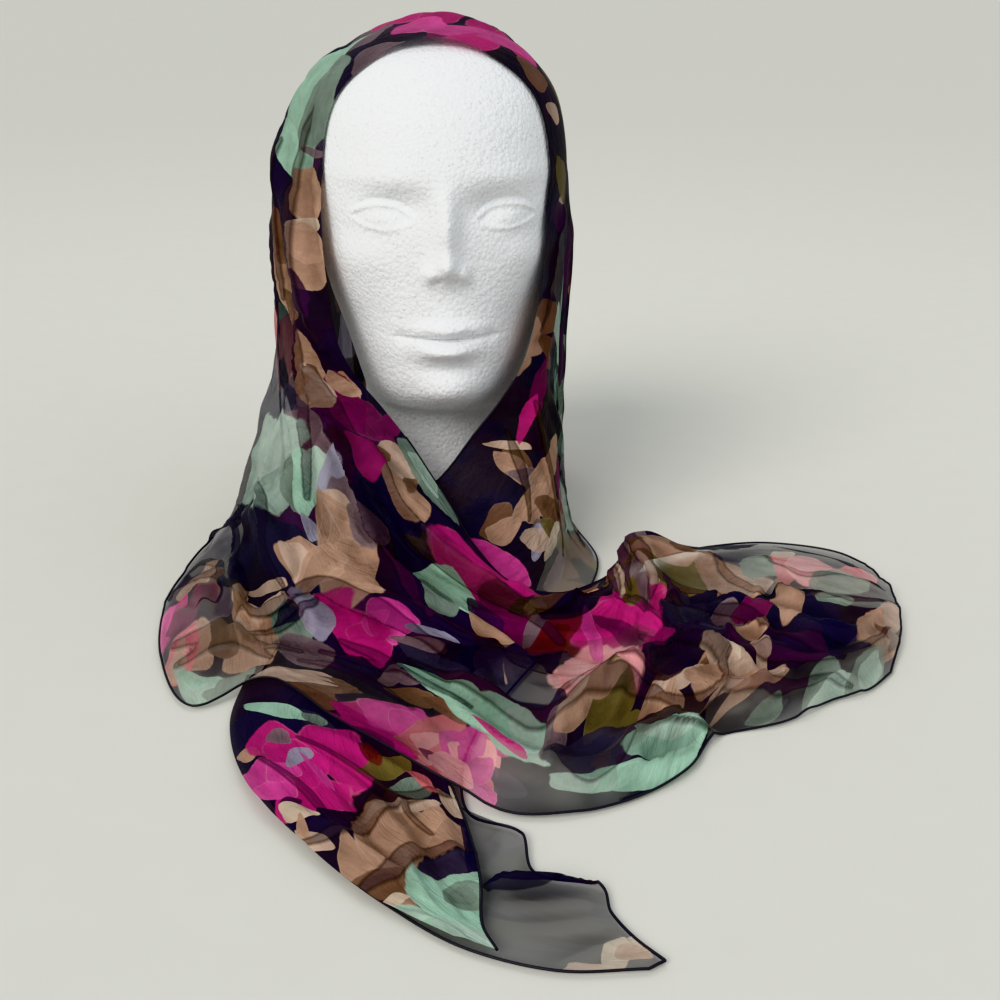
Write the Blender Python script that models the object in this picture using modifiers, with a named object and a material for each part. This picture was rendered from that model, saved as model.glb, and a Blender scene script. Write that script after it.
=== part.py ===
"""An oblong chiffon scarf worn as a hood over a foam display head, +Z up, standing on its base.

The scarf is one cloth, lofted through a row of sections that run from its face edge to its outer hem.
The sections follow its length: from the end of the right tail, over the chest to the left side, over the
crown, down the right side, under the chest and out to the end of the front tail.
"""
import math
from collections import namedtuple

import bmesh
import bpy
import numpy as np
from mathutils import Vector
from mathutils.bvhtree import BVHTree

CM = 0.01

CLOTH_WALL = 0.12 * CM
SEAM_GAP = 0.06 * CM
LAYER_GAP = 0.06 * CM
HEAD_GAP = 0.20 * CM
FLOOR_GAP = 0.005 * CM
LIFT_REACH = (0.4 * CM, 0.8 * CM)
LIFT_TURNS = 8
LIFT_SPREAD = 4
ABOVE_ALL = 1.0
BASE_HEIGHT = 1.4 * CM

HEAD_X = 0.10 * CM
HEAD_Y = 0.40 * CM
HEAD_TURN = math.radians(5.0)
HEAD_SEGMENTS = 52
HEAD_RINGS = 30

# The head's outline at each height, in cm: half width, and depth before and behind its axis.
Ring = namedtuple("Ring", "height half_width front back")
HEAD_PROFILE = (
    Ring(0.0, 6.1, 6.0, 6.7),
    Ring(BASE_HEIGHT / CM, 6.0, 5.9, 6.6),
    Ring(4.0, 5.1, 4.8, 5.6),
    Ring(6.4, 4.6, 4.2, 5.4),
    Ring(8.2, 4.5, 4.5, 5.7),
    Ring(9.2, 4.5, 6.4, 6.2),
    Ring(10.3, 4.8, 7.7, 6.9),
    Ring(12.4, 5.4, 8.3, 7.9),
    Ring(15.5, 6.4, 8.5, 9.0),
    Ring(19.0, 6.9, 8.8, 9.8),
    Ring(22.5, 7.0, 9.1, 9.9),
    Ring(25.2, 6.5, 8.3, 9.0),
    Ring(27.2, 5.1, 6.5, 7.1),
    Ring(28.5, 3.0, 3.8, 4.2),
    Ring(29.0, 0.4, 0.5, 0.5),
)

# Soft relief of the face, in cm: place across from the middle, height, spread across and up, and rise.
Relief = namedtuple("Relief", "across height wide tall rise")
FACE = (
    # Nose: bridge, back, tip and wings.
    Relief(0.0, 20.3, 0.60, 1.10, 0.55),
    Relief(0.0, 18.8, 0.66, 1.10, 0.85),
    Relief(0.0, 17.55, 0.80, 0.70, 1.20),
    Relief(0.85, 17.0, 0.50, 0.46, 0.60),
    Relief(-0.85, 17.0, 0.50, 0.46, 0.60),
    # Eyes: socket, ball and brow.
    Relief(2.3, 20.4, 1.30, 0.95, -0.62),
    Relief(-2.3, 20.4, 1.30, 0.95, -0.62),
    Relief(3.35, 19.9, 1.45, 0.66, 0.42),
    Relief(-3.35, 19.9, 1.45, 0.66, 0.42),
    Relief(3.3, 21.9, 2.00, 0.70, 0.20),
    Relief(-3.3, 21.9, 2.00, 0.70, 0.20),
    # Cheekbones and the hollow below them.
    Relief(4.3, 17.8, 1.40, 1.20, 0.30),
    Relief(-4.3, 17.8, 1.40, 1.20, 0.30),
    Relief(3.9, 14.4, 1.30, 1.40, -0.20),
    Relief(-3.9, 14.4, 1.30, 1.40, -0.20),
    # Lips, the line between them, the dip below and the chin.
    Relief(0.0, 14.6, 0.50, 0.90, 0.12),
    Relief(0.0, 14.1, 1.40, 0.42, 0.40),
    Relief(0.0, 13.0, 1.25, 0.50, 0.55),
    Relief(0.0, 13.6, 1.80, 0.17, -0.26),
    Relief(0.0, 11.9, 1.40, 0.45, -0.28),
    Relief(0.0, 10.5, 1.50, 0.85, 0.40),
)

# Sections of the cloth, in cm, a row for each. A section runs from the edge that frames the face to the
# outer hem.
Row = namedtuple("Row", "edge shoulder waist foot hem")
SECTIONS = (
    # Right tail, from its short end.
    Row((24.3, -7.2, 0.4), (24.7, -9.8, 0.5), (24.6, -12.6, 0.4), (23.8, -16.0, 0.4), (22.4, -19.4, 0.2)),
    Row((23.2, -5.9, 0.5), (23.3, -9.0, 0.8), (23.2, -12.6, 0.6), (22.6, -16.6, 0.6), (21.2, -20.8, 0.2)),
    Row((19.6, -4.2, 0.4), (19.9, -8.0, 1.1), (20.0, -12.4, 0.7), (19.8, -17.2, 0.8), (19.0, -22.0, 0.2)),
    Row((16.0, -4.9, 0.5), (16.5, -9.2, 1.9), (16.8, -13.6, 0.9), (16.8, -18.8, 1.1), (16.4, -23.9, 0.2)),
    Row((12.9, -6.8, 0.7), (13.3, -10.8, 2.9), (13.6, -15.2, 1.3), (13.6, -20.0, 1.2), (13.0, -25.2, 0.2)),
    Row((10.6, -8.6, 0.8), (11.0, -11.2, 3.2), (11.3, -16.2, 1.1), (11.6, -22.0, 1.0), (11.4, -28.0, 0.2)),
    # Chest, along the cowl's rim to the left side.
    Row((8.9, -10.8, 1.0), (9.4, -12.8, 1.6), (9.9, -17.4, 0.9), (10.0, -23.2, 0.8), (9.3, -29.7, 0.2)),
    Row((6.6, -12.5, 1.1), (7.2, -14.6, 1.4), (7.7, -18.8, 1.0), (7.7, -24.2, 0.7), (6.9, -30.8, 0.2)),
    Row((4.2, -12.9, 1.9), (4.9, -15.2, 2.2), (5.4, -19.4, 1.3), (5.3, -24.6, 0.7), (4.3, -31.0, 0.2)),
    Row((2.3, -11.6, 3.4), (2.6, -14.4, 3.4), (2.9, -18.8, 1.8), (2.6, -23.8, 0.8), (1.6, -29.1, 0.2)),
    Row((1.0, -9.8, 4.9), (0.7, -12.8, 4.8), (0.2, -17.4, 2.4), (-0.3, -22.2, 0.9), (-1.1, -26.4, 0.2)),
    Row((-0.3, -8.4, 6.5), (-1.4, -11.2, 6.1), (-2.4, -15.8, 3.1), (-3.2, -20.0, 1.0), (-4.1, -23.1, 0.2)),
    Row((-1.6, -7.7, 8.3), (-3.7, -9.8, 7.4), (-5.2, -13.8, 3.8), (-6.5, -17.8, 1.0), (-7.7, -21.0, 0.2)),
    Row((-2.8, -7.4, 9.8), (-5.7, -8.4, 8.5), (-7.6, -11.6, 4.3), (-9.1, -16.4, 1.0), (-10.5, -22.6, 0.2)),
    # Left side, spread over the table.
    Row((-3.8, -7.2, 11.0), (-7.2, -6.6, 9.3), (-9.2, -8.4, 4.6), (-11.0, -12.4, 1.2), (-13.1, -17.8, 0.2)),
    Row((-4.6, -6.9, 12.4), (-8.2, -4.6, 10.4), (-10.2, -5.0, 4.9), (-12.0, -7.2, 1.2), (-14.3, -10.6, 0.2)),
    Row((-5.1, -6.6, 13.8), (-8.8, -2.4, 12.0), (-10.6, -1.5, 5.4), (-11.9, -1.4, 1.4), (-13.4, -3.2, 0.2)),
    # Hood, over the crown.
    Row((-5.5, -6.2, 15.6), (-9.1, -0.6, 14.6), (-10.1, 2.0, 6.4), (-11.0, 3.0, 1.4), (-12.7, 3.4, 0.2)),
    Row((-5.8, -5.5, 18.4), (-9.5, 1.2, 18.2), (-9.7, 5.2, 8.8), (-10.4, 6.8, 1.4), (-12.0, 8.6, 0.2)),
    Row((-5.7, -4.8, 21.8), (-9.1, 3.0, 22.4), (-8.8, 8.4, 11.6), (-9.0, 10.0, 1.4), (-10.2, 12.6, 0.2)),
    Row((-4.7, -4.5, 25.0), (-6.8, 4.8, 26.2), (-6.6, 11.0, 14.0), (-6.6, 12.2, 1.4), (-7.4, 15.6, 0.2)),
    Row((-2.6, -4.8, 27.6), (-3.6, 5.6, 28.3), (-3.4, 12.2, 15.4), (-3.4, 13.4, 1.4), (-3.8, 17.2, 0.2)),
    Row((0.3, -5.0, 28.5), (0.4, 5.8, 28.9), (0.2, 12.6, 15.6), (0.2, 13.8, 1.4), (0.2, 17.6, 0.2)),
    Row((3.1, -4.7, 27.6), (3.9, 5.4, 28.0), (3.5, 12.0, 15.4), (3.4, 13.2, 1.4), (3.8, 17.0, 0.2)),
    Row((5.0, -4.4, 25.0), (6.2, 4.2, 25.6), (6.0, 10.4, 14.0), (6.0, 11.2, 1.4), (6.8, 14.2, 0.2)),
    Row((5.9, -4.8, 21.6), (7.4, 2.4, 21.8), (6.9, 7.4, 11.6), (6.6, 8.2, 1.4), (7.2, 10.4, 0.2)),
    Row((6.0, -5.4, 18.0), (7.3, 0.6, 17.8), (6.9, 4.4, 8.8), (6.8, 5.2, 1.4), (7.4, 6.6, 0.2)),
    Row((5.6, -6.0, 14.8), (6.9, -0.8, 13.8), (6.8, 1.4, 6.2), (6.9, 2.0, 1.4), (7.5, 2.2, 0.2)),
    # Right side, crossing under the chest.
    Row((4.9, -6.7, 12.2), (6.5, -2.6, 10.8), (6.8, -1.3, 5.2), (7.2, -1.2, 1.4), (8.2, -1.4, 0.2)),
    Row((3.7, -7.3, 10.2), (6.3, -4.6, 8.6), (7.1, -4.0, 4.2), (7.8, -4.4, 1.2), (9.2, -6.0, 0.2)),
    Row((2.2, -7.7, 8.3), (5.6, -6.8, 6.6), (6.8, -7.2, 3.0), (7.4, -8.4, 0.9), (8.3, -10.8, 0.2)),
    Row((0.6, -8.0, 6.2), (3.8, -8.7, 4.4), (5.2, -10.2, 1.8), (5.8, -12.2, 0.5), (6.6, -15.6, 0.2)),
    Row((-1.6, -8.6, 4.2), (1.4, -10.4, 2.7), (2.8, -13.2, 0.9), (3.5, -16.4, 0.4), (4.4, -20.4, 0.2)),
    Row((-4.6, -11.0, 2.0), (-1.8, -13.8, 1.3), (0.2, -16.8, 0.6), (1.5, -20.4, 0.4), (2.6, -24.8, 0.2)),
    # Front tail, out to its pointed end.
    Row((-7.6, -16.4, 0.7), (-4.8, -18.6, 0.7), (-2.2, -21.0, 0.6), (0.2, -24.0, 0.4), (2.0, -28.4, 0.2)),
    Row((-8.7, -21.6, 0.3), (-5.8, -23.2, 0.6), (-3.0, -25.0, 0.5), (-0.2, -27.8, 0.4), (2.4, -31.0, 0.2)),
    Row((-7.3, -28.2, 0.2), (-4.6, -28.8, 0.4), (-1.8, -29.8, 0.4), (1.2, -31.0, 0.3), (4.4, -32.2, 0.2)),
    Row((-4.3, -33.0, 0.2), (-2.0, -33.2, 0.4), (0.4, -33.8, 0.4), (2.8, -34.4, 0.3), (5.0, -34.8, 0.2)),
    Row((-0.9, -36.6, 0.2), (1.0, -36.2, 0.3), (3.0, -36.0, 0.3), (5.2, -35.8, 0.3), (7.3, -35.5, 0.2)),
    Row((2.6, -38.9, 0.2), (4.0, -38.4, 0.2), (5.2, -37.9, 0.2), (6.4, -37.4, 0.2), (7.6, -37.0, 0.2)),
    Row((5.6, -39.9, 0.2), (6.2, -39.5, 0.2), (6.9, -39.1, 0.2), (7.6, -38.7, 0.2), (8.3, -38.3, 0.2)),
    Row((8.6, -39.8, 0.2), (8.75, -39.7, 0.2), (8.9, -39.6, 0.2), (9.05, -39.5, 0.2), (9.2, -39.4, 0.2)),
)

# The front tail's upper layer, which folds back over it from the left.
FOLD_OVER = (
    Row((-8.4, -19.8, 0.5), (-6.0, -21.4, 0.9), (-3.4, -23.4, 0.7), (-1.0, -25.8, 0.6), (1.4, -28.6, 0.4)),
    Row((-8.4, -24.0, 0.5), (-5.8, -25.6, 1.0), (-3.0, -27.4, 0.8), (-0.4, -29.4, 0.6), (2.2, -31.6, 0.4)),
    Row((-6.7, -29.4, 0.5), (-4.4, -30.2, 1.0), (-2.0, -31.4, 0.8), (0.4, -32.7, 0.6), (2.7, -34.2, 0.4)),
    Row((-4.0, -33.1, 0.5), (-2.2, -33.6, 0.9), (-0.6, -34.3, 0.7), (1.2, -35.2, 0.6), (2.9, -36.1, 0.4)),
    Row((-1.0, -36.3, 0.4), (0.0, -36.5, 0.6), (1.0, -36.9, 0.5), (2.0, -37.4, 0.5), (3.0, -37.9, 0.4)),
    Row((2.0, -38.4, 0.4), (2.35, -38.5, 0.4), (2.7, -38.7, 0.4), (3.1, -38.9, 0.4), (3.5, -39.1, 0.4)),
)

# Where each node's stretch starts and ends along its sections, and its cells along the scarf.
Stretch = namedtuple("Stretch", "name first last cells")
STRETCHES = (
    Stretch("right_tail", 0, 6, 18),
    Stretch("chest", 6, 13, 21),
    Stretch("left_spread", 13, 17, 14),
    Stretch("hood", 17, 27, 42),
    Stretch("right_fall", 27, 31, 13),
    Stretch("under_chest", 31, 34, 8),
    Stretch("front_tail", 34, 41, 18),
)
OVER = ("right_tail", "chest", "left_spread")
UNDER = ("right_fall", "under_chest", "front_tail")
CELLS_ACROSS = 18
TAIL_FOLD_OVER = (Stretch("tail_fold_over", 0, 5, 12),)
FOLD_OVER_CELLS = 10

# Folds of the cloth: a path of (section, share of the way from edge to hem), half width and height in cm.
Fold = namedtuple("Fold", "path half_width height")
FOLDS = (
    # Beside the face, on the left.
    Fold(((11.0, 0.10), (14.0, 0.13), (17.0, 0.16), (20.0, 0.15)), 1.0, 0.45),
    Fold(((12.0, 0.25), (15.0, 0.30), (18.0, 0.33)), 1.3, -0.35),
    # Over the chest, along the scarf.
    Fold(((6.5, 0.30), (9.0, 0.26), (12.0, 0.24), (14.5, 0.28)), 1.4, 0.55),
    Fold(((4.4, 0.80), (7.5, 0.77), (9.5, 0.68), (12.0, 0.58), (14.0, 0.56)), 1.6, 1.15),
    Fold(((6.5, 0.52), (9.0, 0.47), (12.0, 0.42)), 1.3, -0.35),
    # Over the left spread.
    Fold(((13.5, 0.80), (14.6, 0.60), (15.2, 0.40)), 1.2, 0.55),
    Fold(((15.2, 0.90), (15.6, 0.65), (15.9, 0.42)), 1.1, 0.55),
    # Over the right tail.
    Fold(((0.4, 0.30), (2.0, 0.36), (4.0, 0.34)), 1.1, 0.35),
    Fold(((0.6, 0.58), (2.5, 0.62), (5.0, 0.56)), 1.2, 0.80),
    Fold(((1.0, 0.82), (3.5, 0.84), (5.5, 0.86)), 1.1, 0.45),
    # Down the right side.
    Fold(((27.0, 0.12), (29.0, 0.16), (31.0, 0.18)), 1.0, 0.35),
    Fold(((28.2, 0.80), (28.6, 0.50), (28.9, 0.30)), 1.0, 0.35),
)

# The veil behind the head falls in soft pleats, each from the crown's height to the hem.
VEIL_FIRST = 17.8
VEIL_LAST = 26.0
VEIL_PLEATS = 12
VEIL_HALF_WIDTH = 1.1
VEIL_HEIGHT = 0.55
VEIL_TOP = 0.36
VEIL_BOTTOM = 1.0
# How uneven they are: in section at the hem, in share at the top, and in height, each with its own rhythm.
Unevenness = namedtuple("Unevenness", "size rhythm start")
VEIL_SWAY = Unevenness(0.12, 2.3, 0.0)
VEIL_RAGGED_TOP = Unevenness(0.05, 1.9, 1.6)
VEIL_DEPTHS = Unevenness(0.35, 1.7, 0.6)

WHITE_FOAM = (0.86, 0.86, 0.84)
DARK_CHIFFON = (0.03, 0.02, 0.06)


def make_material(name, colour, roughness):
    material = bpy.data.materials.new(name)
    material.use_nodes = True
    shader = material.node_tree.nodes["Principled BSDF"]
    shader.inputs["Base Color"].default_value = (*colour, 1.0)
    shader.inputs["Roughness"].default_value = roughness
    shader.inputs["Metallic"].default_value = 0.0
    return material


def spline(points, knots, at):
    """Points of a smooth curve through given ones, whose tangents are those of a Catmull-Rom spline."""
    steps = np.diff(knots)
    slopes = np.diff(points, axis=0) / steps[:, None]
    tangents = np.empty_like(points)
    tangents[0] = slopes[0]
    tangents[-1] = slopes[-1]
    before, after = steps[:-1, None], steps[1:, None]
    tangents[1:-1] = (slopes[:-1] * after + slopes[1:] * before) / (before + after)
    span = np.clip(np.searchsorted(knots, at, side="right") - 1, 0, len(steps) - 1)
    width = steps[span][:, None]
    f = (at - knots[span])[:, None] / width
    start, end = points[span], points[span + 1]
    return (
        (2 * f**3 - 3 * f**2 + 1) * start
        + (f**3 - 2 * f**2 + f) * width * tangents[span]
        + (3 * f**2 - 2 * f**3) * end
        + (f**3 - f**2) * width * tangents[span + 1]
    )


def mean_chords(controls):
    """Knots along the second axis of a grid of points, spaced by the mean distance between neighbours."""
    lengths = np.linalg.norm(np.diff(controls, axis=1), axis=2).mean(axis=0)
    return np.concatenate([[0.0], np.cumsum(lengths)])


class Sheet:
    """A cloth lofted through sections. Places on it are (section number, share from edge to hem)."""

    def __init__(self, sections):
        self.controls = np.array(sections, float) * CM
        self.across = mean_chords(self.controls)
        self.along = mean_chords(np.swapaxes(self.controls, 0, 1))

    def length_at(self, section):
        return np.interp(section, np.arange(len(self.along)), self.along)

    def points(self, sections, shares):
        """Points on the loft, as a grid of sections by shares."""
        curves = np.stack([spline(row, self.across, shares * self.across[-1]) for row in self.controls])
        columns = [spline(curves[:, j], self.along, self.length_at(sections)) for j in range(len(shares))]
        return np.stack(columns, axis=1)

    def flat(self, sections, shares):
        """The same places on the cloth laid flat."""
        u, v = np.meshgrid(self.length_at(sections), shares * self.across[-1], indexing="ij")
        return np.stack([u, v], axis=2)


def distance_to_path(flat, path):
    """Each place's distance to a path of straight pieces, on the flat cloth."""
    nearest = np.full(flat.shape[:2], np.inf)
    for start, end in zip(path[:-1], path[1:]):
        along = end - start
        share = np.clip(((flat - start) @ along) / (along @ along), 0.0, 1.0)
        nearest = np.minimum(nearest, np.linalg.norm(flat - start - share[..., None] * along, axis=2))
    return nearest


def fold_rise(sheet, flat, folds):
    """How far the folds lift each place off the loft."""
    rise = np.zeros(flat.shape[:2])
    for fold in folds:
        path = [np.array([sheet.length_at(s), share * sheet.across[-1]]) for s, share in fold.path]
        distance = distance_to_path(flat, path)
        rise += fold.height * CM * np.exp(-((distance / (fold.half_width * CM)) ** 2))
    return rise


def uneven(unevenness, number):
    return unevenness.size * math.sin(unevenness.rhythm * number + unevenness.start)


def veil_folds():
    """Pleats of the veil, in turn out and in, a little uneven in place and depth."""
    folds = []
    for i in range(VEIL_PLEATS):
        place = VEIL_FIRST + (VEIL_LAST - VEIL_FIRST) * (i + 0.5) / VEIL_PLEATS
        top = (place, VEIL_TOP + uneven(VEIL_RAGGED_TOP, i))
        bottom = (place + uneven(VEIL_SWAY, i), VEIL_BOTTOM)
        side = 1.0 if i % 2 else -1.0
        height = side * VEIL_HEIGHT * (1.0 + uneven(VEIL_DEPTHS, i))
        folds.append(Fold((top, bottom), VEIL_HALF_WIDTH, height))
    return folds


def normals(grid):
    """Unit normals of a grid of points, outward from the head and up from the table."""
    across = np.cross(np.gradient(grid, axis=0), np.gradient(grid, axis=1))
    return across / np.maximum(np.linalg.norm(across, axis=2), 1e-12)[..., None]


def softened(lift):
    """A lift spread over its neighbours, nowhere less than it was."""
    spread = lift.copy()
    for _ in range(LIFT_SPREAD):
        padded = np.pad(spread, 1, mode="edge")
        mean = (padded[:-2, 1:-1] + padded[2:, 1:-1] + padded[1:-1, :-2] + padded[1:-1, 2:]) / 4
        spread = np.maximum(lift, mean)
    return spread


def keep_off_floor(grid):
    lowest = CLOTH_WALL / 2 + FLOOR_GAP
    grid[..., 2] = np.maximum(grid[..., 2], lowest)


def top_of(tree, x, y):
    """Height of the highest surface at a place, or nothing there."""
    hit, _, _, _ = tree.ray_cast(Vector((x, y, ABOVE_ALL)), Vector((0.0, 0.0, -1.0)))
    return hit.z if hit else None


def lift_over(grid, trees):
    """Lifts a layer off those it lies on, by what is highest within reach of each point."""
    needed = np.zeros(grid.shape[:2])
    turns = [(0.0, 0.0)] + [
        (reach * math.cos(math.tau * k / LIFT_TURNS), reach * math.sin(math.tau * k / LIFT_TURNS))
        for reach in LIFT_REACH
        for k in range(LIFT_TURNS)
    ]
    for index in np.ndindex(grid.shape[:2]):
        x, y, z = grid[index]
        for dx, dy in turns:
            for tree in trees:
                height = top_of(tree, x + dx, y + dy)
                if height is not None:
                    needed[index] = max(needed[index], height + CLOTH_WALL + LAYER_GAP - z)
    grid[..., 2] += softened(needed)


def keep_clear(grid, tree, gap):
    """Moves points of a cloth out until its wall clears a closed body that stands on the table."""
    least = CLOTH_WALL / 2 + gap
    for index in np.ndindex(grid.shape[:2]):
        point = Vector(grid[index])
        near, normal, _, _ = tree.find_nearest(point)
        if near.z > BASE_HEIGHT and (point - near).dot(normal) < least:
            grid[index] = near + normal * least


def tree_of(grid):
    """A search tree of a grid's faces."""
    rows, columns = grid.shape[:2]
    corners = [tuple(p) for p in grid.reshape(-1, 3)]
    faces = [
        (i * columns + j, (i + 1) * columns + j, (i + 1) * columns + j + 1, i * columns + j + 1)
        for i in range(rows - 1)
        for j in range(columns - 1)
    ]
    return BVHTree.FromPolygons(corners, faces)


def places_along(stretches):
    """Section numbers of the points along neighbouring stretches, which share those at their seams."""
    places = [np.array([float(stretches[0].first)])]
    for stretch in stretches:
        places.append(np.linspace(stretch.first, stretch.last, stretch.cells + 1)[1:])
    return np.concatenate(places)


def drawn_in(grid):
    """A stretch whose two ends leave half a seam gap to its neighbours."""
    part = grid.copy()
    for end, inner in ((0, 1), (-1, -2)):
        inward = grid[inner] - grid[end]
        part[end] += inward * (SEAM_GAP / 2 / np.linalg.norm(inward, axis=1))[:, None]
    return part


def folded(sheet, sections, shares, folds):
    """Points of the loft, raised along its normals by the folds."""
    grid = sheet.points(sections, shares)
    rise = fold_rise(sheet, sheet.flat(sections, shares), folds)
    return grid + normals(grid) * rise[..., None]


def make_shell(name, grid, collection):
    """A cloth wall: an open surface, thickened evenly to both sides."""
    rows, columns = grid.shape[:2]
    mesh = bpy.data.meshes.new(name)
    form = bmesh.new()
    corners = [[form.verts.new(point) for point in row] for row in grid]
    for i in range(rows - 1):
        for j in range(columns - 1):
            form.faces.new((corners[i][j], corners[i + 1][j], corners[i + 1][j + 1], corners[i][j + 1]))
    form.to_mesh(mesh)
    form.free()
    mesh.materials.append(make_material(name + "_chiffon", DARK_CHIFFON, 0.55))
    mesh.shade_smooth()
    shell = bpy.data.objects.new(name, mesh)
    collection.objects.link(shell)
    wall = shell.modifiers.new("Wall", "SOLIDIFY")
    wall.thickness = CLOTH_WALL
    wall.offset = 0.0
    return shell


def face_relief(across, height):
    return sum(
        r.rise * math.exp(-(((across - r.across) / r.wide) ** 2) - ((height - r.height) / r.tall) ** 2)
        for r in FACE
    )


def head_point(ring, angle):
    """A point on the head's surface: angle 0 is the middle of the face."""
    height, half_width, front, back = ring
    depth = front if math.cos(angle) > 0 else back
    radius = 1.0 / math.hypot(math.sin(angle) / half_width, math.cos(angle) / depth)
    if math.cos(angle) > 0:
        radius += face_relief(radius * math.sin(angle), height)
    turn = angle + HEAD_TURN
    return Vector(
        (HEAD_X + radius * math.sin(turn) * CM, HEAD_Y - radius * math.cos(turn) * CM, height * CM)
    )


def make_head(collection):
    """The foam head: rings of its outline up from a flat base, with the face raised on them."""
    profile = np.array(HEAD_PROFILE, float)
    knots = np.concatenate([[0.0], np.cumsum(np.linalg.norm(np.diff(profile, axis=0), axis=1))])
    rings = spline(profile, knots, np.linspace(0.0, knots[-1], HEAD_RINGS + 1))
    mesh = bpy.data.meshes.new("head_form")
    form = bmesh.new()
    loops = [
        [form.verts.new(head_point(ring, math.tau * k / HEAD_SEGMENTS)) for k in range(HEAD_SEGMENTS)]
        for ring in rings
    ]
    for lower, upper in zip(loops[:-1], loops[1:]):
        for k in range(HEAD_SEGMENTS):
            after = (k + 1) % HEAD_SEGMENTS
            form.faces.new((lower[k], lower[after], upper[after], upper[k]))
    form.faces.new(loops[0][::-1])
    form.faces.new(loops[-1])
    bmesh.ops.recalc_face_normals(form, faces=form.faces[:])
    form.to_mesh(mesh)
    form.free()
    mesh.materials.append(make_material("white_foam", WHITE_FOAM, 0.9))
    mesh.shade_smooth()
    mesh.set_sharp_from_angle(angle=math.radians(60))
    head = bpy.data.objects.new("head_form", mesh)
    collection.objects.link(head)
    return BVHTree.FromPolygons([v.co for v in mesh.vertices], [tuple(p.vertices) for p in mesh.polygons])


def make_scarf(collection, head_tree):
    """Each stretch of the scarf, from the lowest layer on the table to the highest."""
    scarf = Sheet(SECTIONS)
    shares = np.linspace(0.0, 1.0, CELLS_ACROSS + 1)
    whole = folded(scarf, places_along(STRETCHES), shares, list(FOLDS) + veil_folds())
    keep_off_floor(whole)
    keep_clear(whole, head_tree, HEAD_GAP)

    fold_over = Sheet(FOLD_OVER)
    tail_shares = np.linspace(0.0, 1.0, FOLD_OVER_CELLS + 1)
    tail_fold_over = folded(fold_over, places_along(TAIL_FOLD_OVER), tail_shares, ())

    starts = np.cumsum([0] + [stretch.cells for stretch in STRETCHES])
    rows = {s.name: slice(starts[i], starts[i + 1] + 1) for i, s in enumerate(STRETCHES)}
    lift_over(tail_fold_over, [tree_of(whole[rows["front_tail"]])])
    over = slice(rows[OVER[0]].start, rows[OVER[-1]].stop)
    lower = [tree_of(whole[rows[name]]) for name in UNDER] + [tree_of(tail_fold_over)]
    lift_over(whole[over], lower)

    for name, part in rows.items():
        make_shell(name, drawn_in(whole[part]), collection)
    make_shell("tail_fold_over", tail_fold_over, collection)


def main():
    for old in list(bpy.data.objects):
        bpy.data.objects.remove(old, do_unlink=True)
    collection = bpy.data.collections.new("chiffon_scarf")
    bpy.context.scene.collection.children.link(collection)
    make_scarf(collection, make_head(collection))


main()
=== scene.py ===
import math

import bmesh
import bpy
import numpy as np
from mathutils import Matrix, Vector
from mathutils.bvhtree import BVHTree


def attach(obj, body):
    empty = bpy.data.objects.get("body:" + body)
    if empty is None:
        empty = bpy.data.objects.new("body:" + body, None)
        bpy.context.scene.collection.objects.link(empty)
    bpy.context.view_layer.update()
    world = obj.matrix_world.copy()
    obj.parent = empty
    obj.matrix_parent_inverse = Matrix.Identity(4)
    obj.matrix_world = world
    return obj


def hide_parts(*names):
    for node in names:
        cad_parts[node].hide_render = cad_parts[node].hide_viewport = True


# A long printed chiffon scarf worn as a hood over an expanded polystyrene head.
# All sizes are in metres unless a name says cm or mm. The cloth's sections are in cm.

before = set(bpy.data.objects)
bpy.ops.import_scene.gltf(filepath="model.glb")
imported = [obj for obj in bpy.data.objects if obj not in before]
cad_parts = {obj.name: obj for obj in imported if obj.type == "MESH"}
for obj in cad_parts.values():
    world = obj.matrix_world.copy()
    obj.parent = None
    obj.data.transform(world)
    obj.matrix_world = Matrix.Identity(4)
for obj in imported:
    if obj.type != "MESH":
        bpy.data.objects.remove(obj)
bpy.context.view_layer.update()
print("frame loaded:", ", ".join(sorted(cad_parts)))


# small helpers

def linearColour(hexText):  # sRGB hex to the linear values that Blender's sockets hold
    channels = [int(hexText[i:i + 2], 16) / 255 for i in (1, 3, 5)]
    return [c / 12.92 if c <= 0.04045 else ((c + 0.055) / 1.055) ** 2.4 for c in channels] + [1.0]


def addNode(tree, kind, settings=None, links=None):  # a link starts at a socket or a node's first output
    node = tree.nodes.new(kind)
    for name, value in (settings or {}).items():
        if isinstance(name, int) or name in node.inputs:
            node.inputs[name].default_value = value
        else:
            setattr(node, name, value)
    for name, source in (links or {}).items():
        socket = source.outputs[0] if isinstance(source, bpy.types.Node) else source
        tree.links.new(socket, node.inputs[name])
    return node


def newMaterial(name):
    material = bpy.data.materials.new(name)
    material.use_nodes = True
    material.node_tree.nodes.clear()
    return material, material.node_tree


def scaleFor(millimetres):  # a pattern's scale in whole features a metre, so that they are about this size
    return float(round(1000.0 / millimetres))


def addObject(name, data):
    made = bpy.data.objects.new(name, data)
    bpy.context.scene.collection.objects.link(made)
    return made


def meshObject(name, form, material):
    mesh = bpy.data.meshes.new(name)
    form.to_mesh(mesh)
    form.free()
    mesh.materials.append(material)
    mesh.shade_smooth()
    return addObject(name, mesh)


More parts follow.
